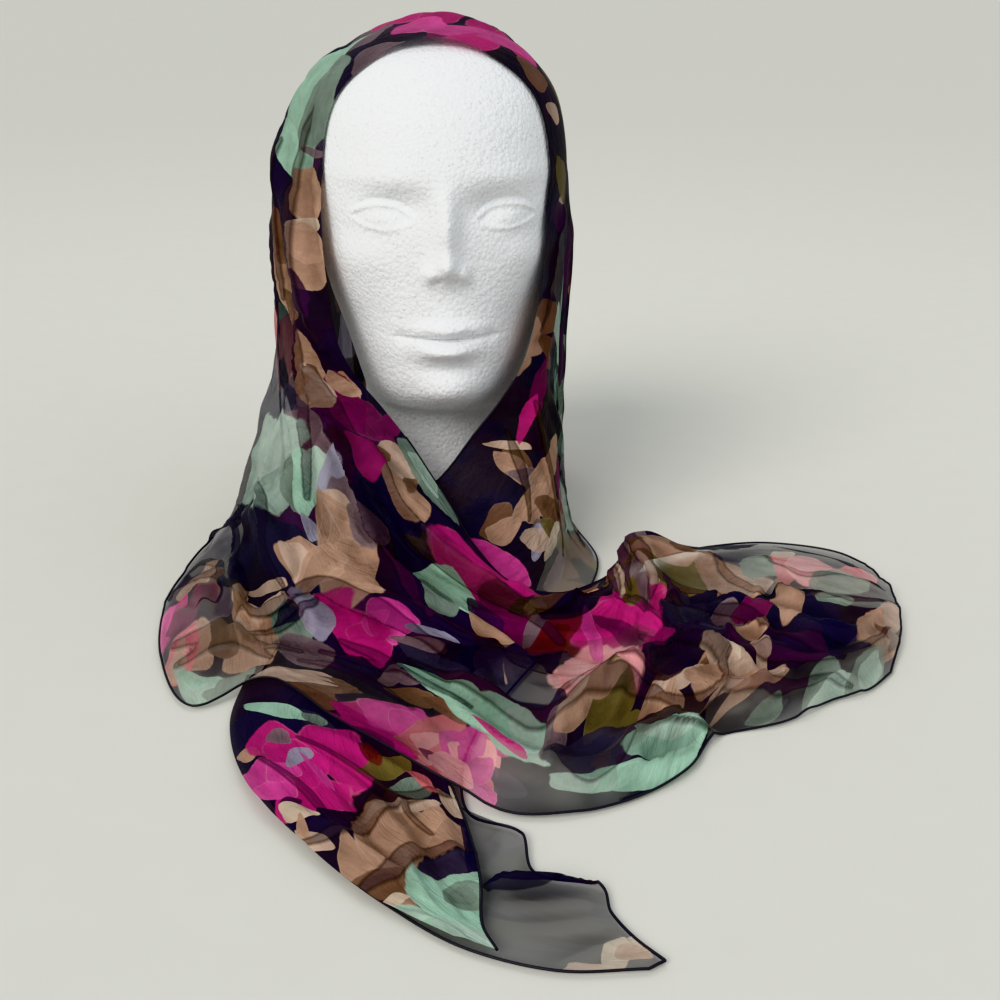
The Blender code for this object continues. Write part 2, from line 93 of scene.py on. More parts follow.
def smoothCurve(points, knots, at):  # a Catmull-Rom curve through the points, read at given distances
    steps = np.diff(knots)
    slopes = np.diff(points, axis=0) / steps[:, None]
    tangents = np.empty_like(points)
    tangents[0], tangents[-1] = slopes[0], slopes[-1]
    before, after = steps[:-1, None], steps[1:, None]
    tangents[1:-1] = (slopes[:-1] * after + slopes[1:] * before) / (before + after)
    span = np.clip(np.searchsorted(knots, at, side="right") - 1, 0, len(steps) - 1)
    width = steps[span][:, None]
    f = (at - knots[span])[:, None] / width  # how far along its span each place lies
    return ((2 * f**3 - 3 * f**2 + 1) * points[span] + (f**3 - 2 * f**2 + f) * width * tangents[span]
            + (3 * f**2 - 2 * f**3) * points[span + 1] + (f**3 - f**2) * width * tangents[span + 1])


# camera, floor and light

view = {
    "place": (0.036, -0.75, 0.31),
    "pitch": 21.5,  # degrees below level
    "lens": 47.16,
    "sensor": 36.0,
    "far": 200.0,
    "marks": 1000.0,  # the view's width in the marks by which folds and motifs are placed
    "markSize": 0.00055,  # what one mark spans at the scarf
}


def makeCamera():
    data = bpy.data.cameras.new("view")
    data.lens = view["lens"]
    data.sensor_width = view["sensor"]
    data.clip_end = view["far"]
    camera = addObject("view", data)
    camera.location = view["place"]
    camera.rotation_euler = (math.radians(90.0 - view["pitch"]), 0.0, 0.0)
    bpy.context.scene.camera = camera
    bpy.context.scene.view_settings.view_transform = "Khronos PBR Neutral"


studio = {
    "floorSize": 60.0,
    "floorColour": "#d9dad2",
    "floorGrain": (25.0, 0.97),  # its grain in mm, and how dark it gets
    "sky": "#f2f4f6",
    "skyStrength": 0.60,
    "sunFrom": (-0.85, -1.25, 1.15),  # the key light: a wide soft sun, so the floor is lit evenly
    "sunAngle": 34.0,
    "sunStrength": 2.0,
    "sunColour": "#fffaf4",
    # name, place, what it points at, size, watts, colour
    "lamps": (
        ("fill", (1.30, -0.90, 0.90), (0.0, -0.05, 0.10), 1.20, 2.5, "#eef3ff"),
        ("top", (-0.10, 0.60, 1.60), (0.0, 0.0, 0.10), 1.00, 3.0, "#ffffff"),
    ),
}


def makeBoard():  # matt painted board: even and pale
    material, tree = newMaterial("painted_board")
    size, dark = studio["floorGrain"]
    place = addNode(tree, "ShaderNodeTexCoord").outputs["Object"]
    grain = addNode(tree, "ShaderNodeTexNoise", {"Scale": scaleFor(size), "Detail": 1.0}, {"Vector": place})
    tone = addNode(tree, "ShaderNodeMapRange", {"To Min": dark}, {"Value": grain})
    tinted = addNode(tree, "ShaderNodeMix",
                     {"data_type": "RGBA", "blend_type": "MULTIPLY", 0: 1.0,
                      6: linearColour(studio["floorColour"])}, {7: tone})
    paint = addNode(tree, "ShaderNodeBsdfPrincipled", {"Roughness": 0.8}, {"Base Color": tinted.outputs[2]})
    addNode(tree, "ShaderNodeOutputMaterial", None, {"Surface": paint})
    return material


def makeFloor():
    form = bmesh.new()
    bmesh.ops.create_grid(form, x_segments=8, y_segments=8, size=studio["floorSize"] / 2)
    return meshObject("floor", form, makeBoard())


def makeLight(name, kind, towards, strength, colour):  # a light that shines along a direction
    data = bpy.data.lights.new(name, kind)
    data.energy = strength
    data.color = linearColour(colour)[:3]
    light = addObject(name, data)
    light.rotation_euler = towards.to_track_quat("-Z", "Y").to_euler()
    return light


def makeLights():
    world = bpy.data.worlds.new("soft_room")
    bpy.context.scene.world = world
    world.use_nodes = True
    sky = world.node_tree.nodes["Background"]
    sky.inputs["Color"].default_value = linearColour(studio["sky"])
    sky.inputs["Strength"].default_value = studio["skyStrength"]
    sun = makeLight("key", "SUN", -Vector(studio["sunFrom"]), studio["sunStrength"], studio["sunColour"])
    sun.data.angle = math.radians(studio["sunAngle"])
    for name, place, aim, size, watts, colour in studio["lamps"]:
        lamp = makeLight(name, "AREA", Vector(aim) - Vector(place), watts, colour)
        lamp.data.shape = "DISK"
        lamp.data.size = size
        lamp.location = place


makeCamera()
makeFloor()
makeLights()
print("camera, floor and lights set")


# the head: moulded expanded polystyrene

foamHead = {
    "x": 0.0010,
    "y": 0.0040,
    "turn": math.radians(5.0),
    "columns": 320,
    "rings": 280,
    "frontShare": 0.45,  # how much closer the columns stand at the face than behind
    "baseStep": 0.04,  # the share of the rings that lies under the base
    "crownStep": 0.012,  # and the share that closes the crown
    # the face has most rings: it lies between these shares of the others and these rows of the profile
    "faceSteps": (0.16, 0.84),
    "faceRows": (5, 10),
    "sideFade": 4.0,  # how soon the face's relief is full, going forwards from the ears
    "skin": "#eff2f5",
    "pitShade": "#dcdfe2",
    # height, half width, depth before and behind its axis, in cm
    "profile": (
        (0.0, 6.1, 6.0, 6.7), (1.4, 6.0, 5.9, 6.6), (4.0, 5.1, 4.8, 5.6), (6.4, 4.6, 4.2, 5.4),
        (8.2, 4.5, 4.5, 5.7), (9.2, 4.5, 6.4, 6.2), (10.3, 4.8, 7.7, 6.9), (12.4, 5.4, 8.3, 7.9),
        (15.5, 6.4, 8.5, 9.0), (19.0, 6.9, 8.8, 9.8), (22.5, 7.0, 9.1, 9.9), (25.2, 6.5, 8.3, 9.0),
        (27.2, 5.1, 6.5, 7.1), (28.5, 3.0, 3.8, 4.2), (29.0, 0.4, 0.5, 0.5),
    ),
    # soft relief in cm: across, height, spread across, spread up, rise; a pair is mirrored
    "middle": (
        (0.0, 20.3, 0.60, 1.20, 0.50), (0.0, 18.9, 0.58, 1.20, 0.76), (0.0, 17.5, 0.62, 0.74, 1.00),
        (0.0, 15.3, 0.30, 0.60, -0.05), (0.0, 14.6, 0.50, 0.90, 0.12), (0.0, 14.15, 1.45, 0.40, 0.46),
        (0.0, 13.0, 1.25, 0.46, 0.74), (0.0, 13.6, 1.90, 0.12, -0.42), (0.0, 11.9, 1.40, 0.45, -0.28),
        (0.0, 10.5, 1.50, 0.85, 0.40),
    ),
    "pairs": (
        (0.84, 17.10, 0.36, 0.44, 0.46), (0.42, 16.75, 0.22, 0.16, -0.20),
        (2.3, 20.4, 1.30, 0.95, -0.62), (3.15, 19.9, 1.35, 0.66, 0.36), (3.3, 21.9, 2.00, 0.70, 0.20),
        (4.3, 17.8, 1.40, 1.20, 0.30), (3.9, 14.4, 1.30, 1.40, -0.20),
        (2.4, 13.6, 0.35, 0.35, -0.12), (0.75, 14.35, 0.45, 0.22, 0.08),
    ),
    # a blank eye, in cm
    "eye": {
        "middle": (3.15, 19.85),
        "reach": 1.50,  # half its length
        "upper": 0.62,  # how far each lid opens
        "lower": 0.44,
        "slant": 0.10,  # how much the upper lid climbs outwards
        "softness": 0.05,
        "ball": (-0.14, 0.10),  # how far in its corners lie, and how much its middle swells out again
        "corners": (0.85, 0.18),  # the lids fade out from this share of its reach, over this share
        # how far past the opening the lids and the crease lie, how wide they are and how they rise
        "upperLid": (0.08, 0.13, 0.10),
        "lowerLid": (0.08, 0.12, 0.06),
        "crease": (0.42, 0.12, -0.09),
    },
}


def eyeRelief(across, height):  # a blank eye: ball within two lids, with a crease over the upper one
    eye = foamHead["eye"]
    middle, level = eye["middle"]
    share = np.clip((np.abs(across) - middle) / eye["reach"], -1.25, 1.25)
    arch = np.clip(1.0 - share**2, 0.0, None)
    top = level + eye["upper"] * arch**0.8 + eye["slant"] * share
    bottom = level - eye["lower"] * arch
    inside = 1.0 / (1.0 + np.exp(-np.minimum(top - height, height - bottom) / eye["softness"]))
    inside *= (np.abs(share) < 1.0)
    deep, swell = eye["ball"]
    start, length = eye["corners"]
    fade = np.exp(-(np.clip(np.abs(share) - start, 0.0, None) / length) ** 2)
    ridges = 0.0
    for past, (away, wide, rise) in ((height - top, eye["upperLid"]), (bottom - height, eye["lowerLid"]),
                                     (height - top, eye["crease"])):
        ridges = ridges + rise * np.exp(-((past - away) / wide) ** 2)
    return inside * (deep + swell * arch) + ridges * fade


def faceRelief(across, height):
    rise = eyeRelief(across, height)
    for forms, side in (("middle", across), ("pairs", np.abs(across))):
        for place, level, wide, tall, amount in foamHead[forms]:
            rise = rise + amount * np.exp(-((side - place) / wide) ** 2 - ((height - level) / tall) ** 2)
    return rise


def headPlaces(turns, steps):  # turns: angles from the face's middle; steps: 0 under the base, 1 at the crown
    rings = np.array(foamHead["profile"], float)
    knots = np.concatenate([[0.0], np.cumsum(np.linalg.norm(np.diff(rings, axis=0), axis=1))])
    base, (low, high), (chin, brow) = foamHead["baseStep"], foamHead["faceSteps"], foamHead["faceRows"]
    wall = np.clip((steps - base) / (1.0 - base), 0.0, 1.0)
    travel = np.interp(wall, [0.0, low, high, 1.0], [0.0, knots[chin], knots[brow], knots[-1]])
    outline = smoothCurve(rings, knots, travel)
    depth = np.where(np.cos(turns) > 0, outline[:, 2], outline[:, 3])
    reach = 1.0 / np.hypot(np.sin(turns) / outline[:, 1], np.cos(turns) / depth)
    front = np.clip(np.cos(turns) * foamHead["sideFade"], 0.0, 1.0)
    reach = reach + front * faceRelief(reach * np.sin(turns), outline[:, 0])
    crown = np.sqrt(np.clip((1.0 - steps) / foamHead["crownStep"], 0.0, 1.0))
    reach = reach * np.clip(steps / base, 0.0, 1.0) * crown
    angle = turns + foamHead["turn"]
    return np.stack([foamHead["x"] + reach * np.sin(angle) * 0.01,
                     foamHead["y"] - reach * np.cos(angle) * 0.01,
                     outline[:, 0] * 0.01], axis=1)


def makeHead(material):
    form = bmesh.new()
    bmesh.ops.create_uvsphere(form, u_segments=foamHead["columns"], v_segments=foamHead["rings"], radius=1.0)
    ball = np.array([v.co for v in form.verts])
    turns = np.arctan2(ball[:, 0], -ball[:, 1])
    turns = turns - foamHead["frontShare"] * np.sin(turns)
    steps = 1.0 - np.arccos(np.clip(ball[:, 2], -1.0, 1.0)) / math.pi
    for vertex, place in zip(form.verts, headPlaces(turns, steps)):
        vertex.co = place
    bmesh.ops.recalc_face_normals(form, faces=form.faces[:])
    return meshObject("foam_head", form, material)


def makeFoam():
    # Expanded polystyrene: white beads 2 to 4 mm across, pressed together in a mould, so the skin is matt
    # and faintly pebbled, with small pits where beads meet.
    material, tree = newMaterial("expanded_polystyrene")
    place = addNode(tree, "ShaderNodeTexCoord").outputs["Object"]
    warp = addNode(tree, "ShaderNodeTexNoise", {"Scale": scaleFor(6.25), "Detail": 2.0}, {"Vector": place})
    nudge = addNode(tree, "ShaderNodeVectorMath", {"operation": "MULTIPLY_ADD", 1: (0.0012, 0.0012, 0.0012)},
                    {0: warp.outputs["Color"], 2: place})
    beads = addNode(tree, "ShaderNodeTexVoronoi",
                    {"Scale": scaleFor(2.5), "feature": "SMOOTH_F1", "Smoothness": 0.35},
                    {"Vector": nudge})
    seams = addNode(tree, "ShaderNodeTexVoronoi", {"Scale": scaleFor(2.5), "feature": "DISTANCE_TO_EDGE"},
                    {"Vector": nudge})
    pits = addNode(tree, "ShaderNodeTexNoise", {"Scale": scaleFor(1.613), "Detail": 3.0, "Roughness": 0.6},
                   {"Vector": place})
    pitMask = addNode(tree, "ShaderNodeMapRange", {"From Min": 0.58, "From Max": 0.72}, {"Value": pits})
    swell = addNode(tree, "ShaderNodeTexNoise", {"Scale": scaleFor(18.2), "Detail": 2.0}, {"Vector": place})
    seamMask = addNode(tree, "ShaderNodeMapRange", {"From Min": 0.0, "From Max": 0.10}, {"Value": seams})
    height = addNode(tree, "ShaderNodeMath", {"operation": "MULTIPLY", 1: -0.8}, {0: beads})
    for amount, relief in ((0.14, seamMask), (-0.35, pitMask),
                           (1.2, swell)):
        height = addNode(tree, "ShaderNodeMath", {"operation": "MULTIPLY_ADD", 1: amount},
                         {0: relief, 2: height})
    bump = addNode(tree, "ShaderNodeBump", {"Strength": 0.6, "Distance": 0.0009}, {"Height": height})
    # painted shade: the pits are coloured a little darker than the skin
    shade = addNode(tree, "ShaderNodeMix",
                    {"data_type": "RGBA", 6: linearColour(foamHead["skin"]),
                     7: linearColour(foamHead["pitShade"])}, {0: pitMask})
    foam = addNode(tree, "ShaderNodeBsdfPrincipled",
                   {"Roughness": 0.62, "IOR": 1.45, "Subsurface Weight": 0.05, "Subsurface Scale": 0.003,
                    "Subsurface Radius": (1.0, 1.0, 1.0)},
                   {"Base Color": shade.outputs[2], "Normal": bump})
    addNode(tree, "ShaderNodeOutputMaterial", None, {"Surface": foam})
    return material


head = makeHead(makeFoam())
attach(head, "root")
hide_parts("head_form")
print("foam head made:", len(head.data.polygons), "faces")


# the scarf: one oblong of chiffon, lofted through sections from its face edge to its outer hem

scarf = {
    "cells": (656, 150),  # along and across
    "foldOverCells": (150, 90),
    "overEnd": 16.6,  # sections up to here lie over the front tail and the folds under the chest
    "overFade": 0.8,  # and they come down again over this many sections
    "overNearer": 0.03,  # they count as this much nearer the eye when folds are placed
    "underStart": 27.5,
    "floorGap": 0.0008,
    "headGap": 0.0016,
    "headBase": 0.014,  # below this the head's flared base is not in the cloth's way
    "layerGap": 0.0011,
    # a layer's need of room is read on every few points, beneath them and on rings round them
    "stride": 4,
    "treeStride": 3,
    "probeRings": (0.003, 0.006),
    "probes": 8,
    "hemWidth": 0.0012,
    "bareEdge": (12.0, 28.5),  # the face edge is turned under between these sections, with no hem
    "foldOverDoubled": 0.01,
    "hollowDepth": 0.0016,
    # hanging cloth is drawn together too: how hollow it counts as at these sections, so thicker and with
    # painted shade
    "drawn": ((11.5, 14.0, 29.0, 31.0), (0.0, 0.45, 0.45, 0.0)),
    # a pleat's sharp edge, how far the doubled band runs past it, and how pleats and folds start at their
    # ends and with what power they grow from there
    "pleatEdge": 0.0022,
    "pleatLap": 0.0012,
    "pleatEnds": (0.08, 0.7),
    "foldEnds": (0.12, 0.6),
    # behind the head: where sharp pleats hang, and where broad and fine folds start, how far they are
    # spread and how many they are
    "veilPleats": (17.6, 19.1, 20.4, 22.3, 24.1, 25.6, 27.0),
    "veilBroad": (17.8, 8.2, 12),
    "veilFine": (17.3, 9.4, 22),
    # fine gathers: their depth in mm at these sections, and where the cloth hangs
    "gatherDepth": ((0, 2, 5, 8, 11, 14, 16, 18, 22, 26, 28, 31, 33, 35, 38, 41),
                    (0.8, 1.3, 1.7, 1.9, 2.0, 1.5, 1.2, 0.9, 0.6, 0.9, 1.6, 2.0, 1.6, 0.8, 0.6, 0.3)),
    "hanging": ((10.5, 13.5, 29.5, 32.0), (0.0, 1.0, 1.0, 0.0)),
    # each kind's wavelength, share of the depth, sway, the length it drifts over and its start
    "gathers": ((0.026, 1.0, 0.9, 0.21, 0.3), (0.017, 0.75, 1.3, 0.13, 1.9),
                (0.0105, 0.5, 1.6, 0.09, 4.1), (0.0071, 0.28, 1.9, 0.06, 2.6)),
    "gatherEdge": 0.04,  # they fade out over this share of the width at both edges
    "reach": 2.5,  # marks of the view within which cloth counts as lying at a place
    "skinDepth": 0.012,  # and the depth within which it is the nearest layer
    # the least and greatest length and width of a motif, and how far the view may stretch them
    "motifLength": (0.006, 0.12, 2.0),
    "motifWidth": (0.004, 0.09, 2.2),
    # five points a section, in cm, from the face edge to the outer hem
    "sections": [
        # right tail, from its short end
        [(24.3, -7.2, 0.4), (24.7, -9.8, 0.5), (24.6, -12.6, 0.4), (23.8, -16.0, 0.4), (22.4, -19.4, 0.2)],
        [(23.2, -5.9, 0.5), (23.3, -9.0, 0.8), (23.2, -12.6, 0.6), (22.6, -16.6, 0.6), (21.2, -20.8, 0.2)],
        [(19.6, -4.2, 0.4), (19.9, -8.0, 1.1), (20.0, -12.4, 0.7), (19.8, -17.2, 0.8), (19.0, -22.0, 0.2)],
        [(16.0, -4.9, 0.5), (16.5, -9.2, 1.9), (16.8, -13.6, 0.9), (16.8, -18.8, 1.1), (16.4, -23.9, 0.2)],
        [(12.9, -6.8, 0.7), (13.3, -10.8, 3.1), (13.6, -15.2, 1.3), (13.6, -20.0, 1.2), (13.0, -25.2, 0.2)],
        [(10.6, -8.6, 1.0), (11.0, -11.2, 3.9), (11.3, -16.2, 1.1), (11.6, -22.0, 1.0), (11.4, -28.0, 0.2)],
        # chest, along the cowl's rim to the left side
        [(8.9, -10.8, 1.0), (9.4, -12.8, 1.6), (9.9, -17.4, 0.9), (10.0, -23.2, 0.8), (9.3, -29.7, 0.2)],
        [(6.6, -12.5, 1.1), (7.2, -14.6, 1.4), (7.7, -18.8, 1.0), (7.7, -24.2, 0.7), (6.9, -30.8, 0.2)],
        [(4.2, -12.9, 1.9), (4.9, -15.2, 2.2), (5.4, -19.4, 1.3), (5.3, -24.6, 0.7), (4.3, -31.0, 0.2)],
        [(2.3, -11.6, 3.4), (2.6, -14.4, 3.4), (2.9, -18.8, 1.8), (2.6, -23.8, 0.8), (1.7, -29.5, 0.2)],
        [(1.0, -9.8, 4.9), (0.7, -12.8, 4.8), (0.2, -17.4, 2.4), (-0.2, -22.8, 0.9), (-1.0, -27.5, 0.2)],
        [(-0.3, -8.4, 6.5), (-1.4, -11.2, 6.1), (-2.4, -15.8, 3.1), (-3.1, -20.8, 1.0), (-3.9, -24.7, 0.2)],
        [(-1.6, -7.7, 8.3), (-3.7, -9.8, 7.4), (-5.2, -13.8, 3.8), (-6.5, -17.8, 1.0), (-7.7, -21.0, 0.2)],
        [(-2.8, -7.4, 9.8), (-5.7, -8.4, 8.5), (-7.6, -11.6, 4.3), (-9.1, -16.4, 1.0), (-10.5, -22.6, 0.2)],
        # left side, spread over the table
        [(-3.8, -7.2, 11.0), (-7.2, -6.6, 9.3), (-9.2, -8.4, 4.6), (-11.0, -12.4, 1.2), (-13.1, -17.8, 0.2)],
        [(-4.6, -6.9, 12.4), (-8.2, -4.6, 10.4), (-10.2, -5.0, 4.9), (-12.0, -7.2, 1.2), (-14.3, -10.6, 0.2)],
        [(-5.1, -6.6, 13.8), (-8.8, -2.4, 12.0), (-10.6, -1.5, 5.4), (-11.9, -1.4, 1.4), (-13.4, -3.2, 0.2)],
        # hood, over the crown
        [(-5.5, -6.2, 15.6), (-9.1, -0.6, 14.6), (-10.1, 2.0, 6.4), (-11.0, 3.0, 1.4), (-12.7, 3.4, 0.2)],
        [(-5.8, -5.5, 18.4), (-9.5, 1.2, 18.2), (-9.7, 5.2, 8.8), (-10.4, 6.8, 1.4), (-12.0, 8.6, 0.2)],
        [(-5.7, -4.8, 21.8), (-9.1, 3.0, 22.4), (-8.8, 8.4, 11.6), (-9.0, 10.0, 1.4), (-10.2, 12.6, 0.2)],
        [(-4.7, -4.5, 25.0), (-6.8, 4.8, 26.2), (-6.6, 11.0, 14.0), (-6.6, 12.2, 1.4), (-7.4, 15.6, 0.2)],
        [(-2.6, -4.8, 27.6), (-3.6, 5.6, 28.3), (-3.4, 12.2, 15.4), (-3.4, 13.4, 1.4), (-3.8, 17.2, 0.2)],
        [(0.3, -5.0, 28.5), (0.4, 5.8, 28.9), (0.2, 12.6, 15.6), (0.2, 13.8, 1.4), (0.2, 17.6, 0.2)],
        [(3.1, -4.7, 27.6), (3.9, 5.4, 28.0), (3.5, 12.0, 15.4), (3.4, 13.2, 1.4), (3.8, 17.0, 0.2)],
        [(5.0, -4.4, 25.0), (6.2, 4.2, 25.6), (6.0, 10.4, 14.0), (6.0, 11.2, 1.4), (6.8, 14.2, 0.2)],
        [(5.9, -4.8, 21.6), (7.4, 2.4, 21.8), (6.9, 7.4, 11.6), (6.6, 8.2, 1.4), (7.2, 10.4, 0.2)],
        [(6.0, -5.4, 18.0), (7.3, 0.6, 17.8), (6.9, 4.4, 8.8), (6.8, 5.2, 1.4), (7.4, 6.6, 0.2)],
        [(5.6, -6.0, 14.8), (6.9, -0.8, 13.8), (6.8, 1.4, 6.2), (6.9, 2.0, 1.4), (7.5, 2.2, 0.2)],
        # right side, crossing under the chest
        [(4.9, -6.7, 12.2), (6.5, -2.6, 10.8), (6.8, -1.3, 5.2), (7.2, -1.2, 1.4), (8.2, -1.4, 0.2)],
        [(3.7, -7.3, 10.2), (6.3, -4.6, 8.6), (7.1, -4.0, 4.2), (7.8, -4.4, 1.2), (9.2, -6.0, 0.2)],
        [(2.2, -7.7, 8.3), (5.6, -6.8, 6.6), (6.8, -7.2, 3.0), (7.4, -8.4, 0.9), (8.3, -10.8, 0.2)],
        [(0.6, -8.0, 6.2), (3.8, -8.7, 4.4), (5.2, -10.2, 1.8), (5.8, -12.2, 0.5), (6.6, -15.6, 0.2)],
        [(-1.6, -8.6, 4.2), (1.4, -10.4, 2.7), (2.8, -13.2, 0.9), (3.5, -16.4, 0.4), (4.4, -20.4, 0.2)],
        [(-4.6, -11.0, 2.0), (-1.8, -13.8, 1.3), (0.2, -16.8, 0.6), (1.5, -20.4, 0.4), (2.6, -24.8, 0.2)],
        # front tail, out to its pointed end
        [(-7.2, -16.7, 0.6), (-4.8, -18.6, 0.7), (-2.2, -21.0, 0.6), (0.2, -24.0, 0.4), (2.0, -28.4, 0.2)],
        [(-7.9, -22.1, 0.2), (-5.8, -23.2, 0.6), (-3.0, -25.0, 0.5), (-0.2, -27.8, 0.4), (2.4, -31.0, 0.2)],
        [(-6.5, -28.4, 0.2), (-4.6, -28.8, 0.4), (-1.8, -29.8, 0.4), (1.2, -31.0, 0.3), (4.4, -32.2, 0.2)],
        [(-3.6, -33.1, 0.2), (-2.0, -33.2, 0.4), (0.4, -33.8, 0.4), (2.8, -34.4, 0.3), (5.0, -34.8, 0.2)],
        [(-0.5, -36.5, 0.2), (1.0, -36.2, 0.3), (3.0, -36.0, 0.3), (5.2, -35.8, 0.3), (7.3, -35.5, 0.2)],
        [(2.6, -38.9, 0.2), (4.0, -38.4, 0.2), (5.2, -37.9, 0.2), (6.4, -37.4, 0.2), (7.6, -37.0, 0.2)],
        [(5.6, -39.9, 0.2), (6.2, -39.5, 0.2), (6.9, -39.1, 0.2), (7.6, -38.7, 0.2), (8.3, -38.3, 0.2)],
        [(8.6, -39.8, 0.2), (8.75, -39.7, 0.2), (8.9, -39.6, 0.2), (9.05, -39.5, 0.2), (9.2, -39.4, 0.2)],
    ],
    # the front tail's upper layer, which folds back over it from the left
    "foldOver": [
        [(-8.5, -19.8, 0.2), (-6.0, -21.4, 0.9), (-3.4, -23.4, 0.7), (-1.0, -25.8, 0.6), (1.4, -28.6, 0.4)],
        [(-8.5, -24.1, 0.2), (-5.8, -25.6, 1.0), (-3.0, -27.4, 0.8), (-0.4, -29.4, 0.6), (2.2, -31.6, 0.4)],
        [(-6.7, -29.4, 0.5), (-4.4, -30.2, 1.0), (-2.0, -31.4, 0.8), (0.4, -32.7, 0.6), (2.7, -34.2, 0.4)],
        [(-4.0, -33.1, 0.5), (-2.2, -33.6, 0.9), (-0.6, -34.3, 0.7), (1.2, -35.2, 0.6), (2.9, -36.1, 0.4)],
        [(-1.0, -36.3, 0.4), (0.0, -36.5, 0.6), (1.0, -36.9, 0.5), (2.0, -37.4, 0.5), (3.0, -37.9, 0.4)],
        [(2.0, -38.4, 0.4), (2.35, -38.5, 0.4), (2.7, -38.7, 0.4), (3.1, -38.9, 0.4), (3.5, -39.1, 0.4)],
    ],
}


def meanChords(controls):
    lengths = np.linalg.norm(np.diff(controls, axis=1), axis=2).mean(axis=0)
    return np.concatenate([[0.0], np.cumsum(lengths)])


def lengthAt(cloth, section):
    return np.interp(section, np.arange(len(cloth["along"])), cloth["along"])


def layOut(controlRows, cells):  # a stretch of cloth lofted through its sections, still without folds
    controls = np.array(controlRows, float) * 0.01
    cloth = {"across": meanChords(controls), "along": meanChords(np.swapaxes(controls, 0, 1))}
    sections = np.linspace(0.0, len(controls) - 1.0, cells[0] + 1)
    shares = np.linspace(0.0, 1.0, cells[1] + 1)
    lengths = lengthAt(cloth, sections)
    span = cloth["across"][-1]
    curves = np.stack([smoothCurve(row, cloth["across"], shares * span) for row in controls])
    grid = np.stack([smoothCurve(curves[:, j], cloth["along"], lengths) for j in range(len(shares))], axis=1)
    steps = np.linalg.norm(np.diff(grid, axis=0), axis=2) / np.diff(lengths)[:, None]
    cloth.update({
        "sections": sections, "shares": shares, "lengths": lengths, "grid": grid,
        "widths": np.linalg.norm(np.diff(grid, axis=1), axis=2).sum(axis=1),
        # real metres for each metre of the sections' mean spacing
        "scales": np.concatenate([steps, steps[-1:]]),
        "flat": np.stack(np.meshgrid(lengths, shares * span, indexing="ij"), axis=2),
        "rise": np.zeros(grid.shape[:2]),
        # how far inside the doubled band beside a crest each place lies
        "tucks": np.full(grid.shape[:2], -0.01),
    })
    return cloth


def outward(grid):
    across = np.cross(np.gradient(grid, axis=0), np.gradient(grid, axis=1))
    return across / np.maximum(np.linalg.norm(across, axis=2), 1e-12)[..., None]


def pathDistance(flat, path):  # signed distance to a path on the flat cloth, and how far along it is, 0 to 1
    nearest = np.full(flat.shape[:2], np.inf)
    sign = np.ones(flat.shape[:2])
    travel = np.zeros(flat.shape[:2])
    lengths = [np.linalg.norm(b - a) for a, b in zip(path[:-1], path[1:])]
    done = 0.0
    for start, end, length in zip(path[:-1], path[1:], lengths):
        if length < 1e-9:
            continue
        step = (end - start) / length
        offset = flat - start
        along = np.clip(offset @ step, 0.0, length)
        distance = np.linalg.norm(offset - along[..., None] * step, axis=2)
        side = offset[..., 1] * step[0] - offset[..., 0] * step[1]
        closer = distance < nearest
        nearest = np.where(closer, distance, nearest)
        sign = np.where(closer, np.where(side >= 0, 1.0, -1.0), sign)
        travel = np.where(closer, (done + along) / sum(lengths), travel)
        done += length
    return nearest * sign, travel


def smoothPath(points, cloth, count=14):  # a smooth path on the flat cloth, through (section, share) places
    rough = np.array([[lengthAt(cloth, s), share * cloth["across"][-1]] for s, share in points])
    if len(rough) < 3:
        return rough
    steps = np.maximum(np.linalg.norm(np.diff(rough, axis=0), axis=1), 1e-4)
    knots = np.concatenate([[0.0], np.cumsum(steps)])
    return smoothCurve(rough, knots, np.linspace(0.0, knots[-1], count))


def layFolds(cloth, folds, pleats):
    # Each fold: its path, half width and height in mm, and how far its crest leans to the path's left.
    # Each pleat: its path, how far it slopes away to the path's left, its height, how far its sharp edge
    # hangs over to the right, and how wide the cloth lies doubled beside that edge, all in mm.
    edge, lap = scarf["pleatEdge"], scarf["pleatLap"]
    ways = []
    for axis in (0, 1):
        way = np.gradient(cloth["grid"], axis=axis)
        ways.append(way / np.maximum(np.linalg.norm(way, axis=2), 1e-12)[..., None])
    rise = np.zeros(cloth["rise"].shape)
    push = np.zeros(cloth["grid"].shape)
    for places, size, height, over, *band in [*folds, *pleats]:
        path = smoothPath(places, cloth)
        distance, travel = pathDistance(cloth["flat"], path)
        start, power = scarf["pleatEnds"] if band else scarf["foldEnds"]
        taper = np.sin(np.pi * (start + (1.0 - 2.0 * start) * travel)) ** power
        if band:
            sharp = np.exp(-(np.minimum(distance, 0.0) / edge) ** 2)
            shape = np.where(distance > 0, np.exp(-distance / (size * 0.001)), sharp) * taper
            inside = np.minimum(distance + lap, band[0] * 0.001 * taper**1.5 - distance)
            cloth["tucks"] = np.maximum(cloth["tucks"], inside)
        else:
            shape = np.exp(-(distance / (size * 0.001 * (0.75 + 0.25 * taper))) ** 2) * taper
        rise += height * 0.001 * shape
        way = path[-1] - path[0]
        way = way / np.linalg.norm(way)
        side = -way[1] * ways[0] + way[0] * ways[1]
        push += ((-over if band else over) * 0.001 * shape**2)[..., None] * side
    cloth["grid"] = cloth["grid"] + outward(cloth["grid"]) * rise[..., None] + push
    cloth["rise"] = cloth["rise"] + rise


def veilPleats():  # a few sharp pleats behind, where the cloth lies doubled
    pleats = []
    for i, place in enumerate(scarf["veilPleats"]):
        top = (place, 0.30 + 0.10 * math.sin(2.2 * i + 0.5))
        middle = (place + 0.25 * math.sin(1.9 * i), 0.62)
        bottom = (place + 0.35 * math.sin(2.6 * i + 1.0), 0.92 + 0.06 * math.sin(3.7 * i))
        height, doubled = 3.5 + 1.2 * math.sin(1.3 * i), 6.0 + 2.0 * math.sin(2.9 * i)
        pleats.append(((top, middle, bottom), 7.0, height, 1.5, doubled))
    return pleats


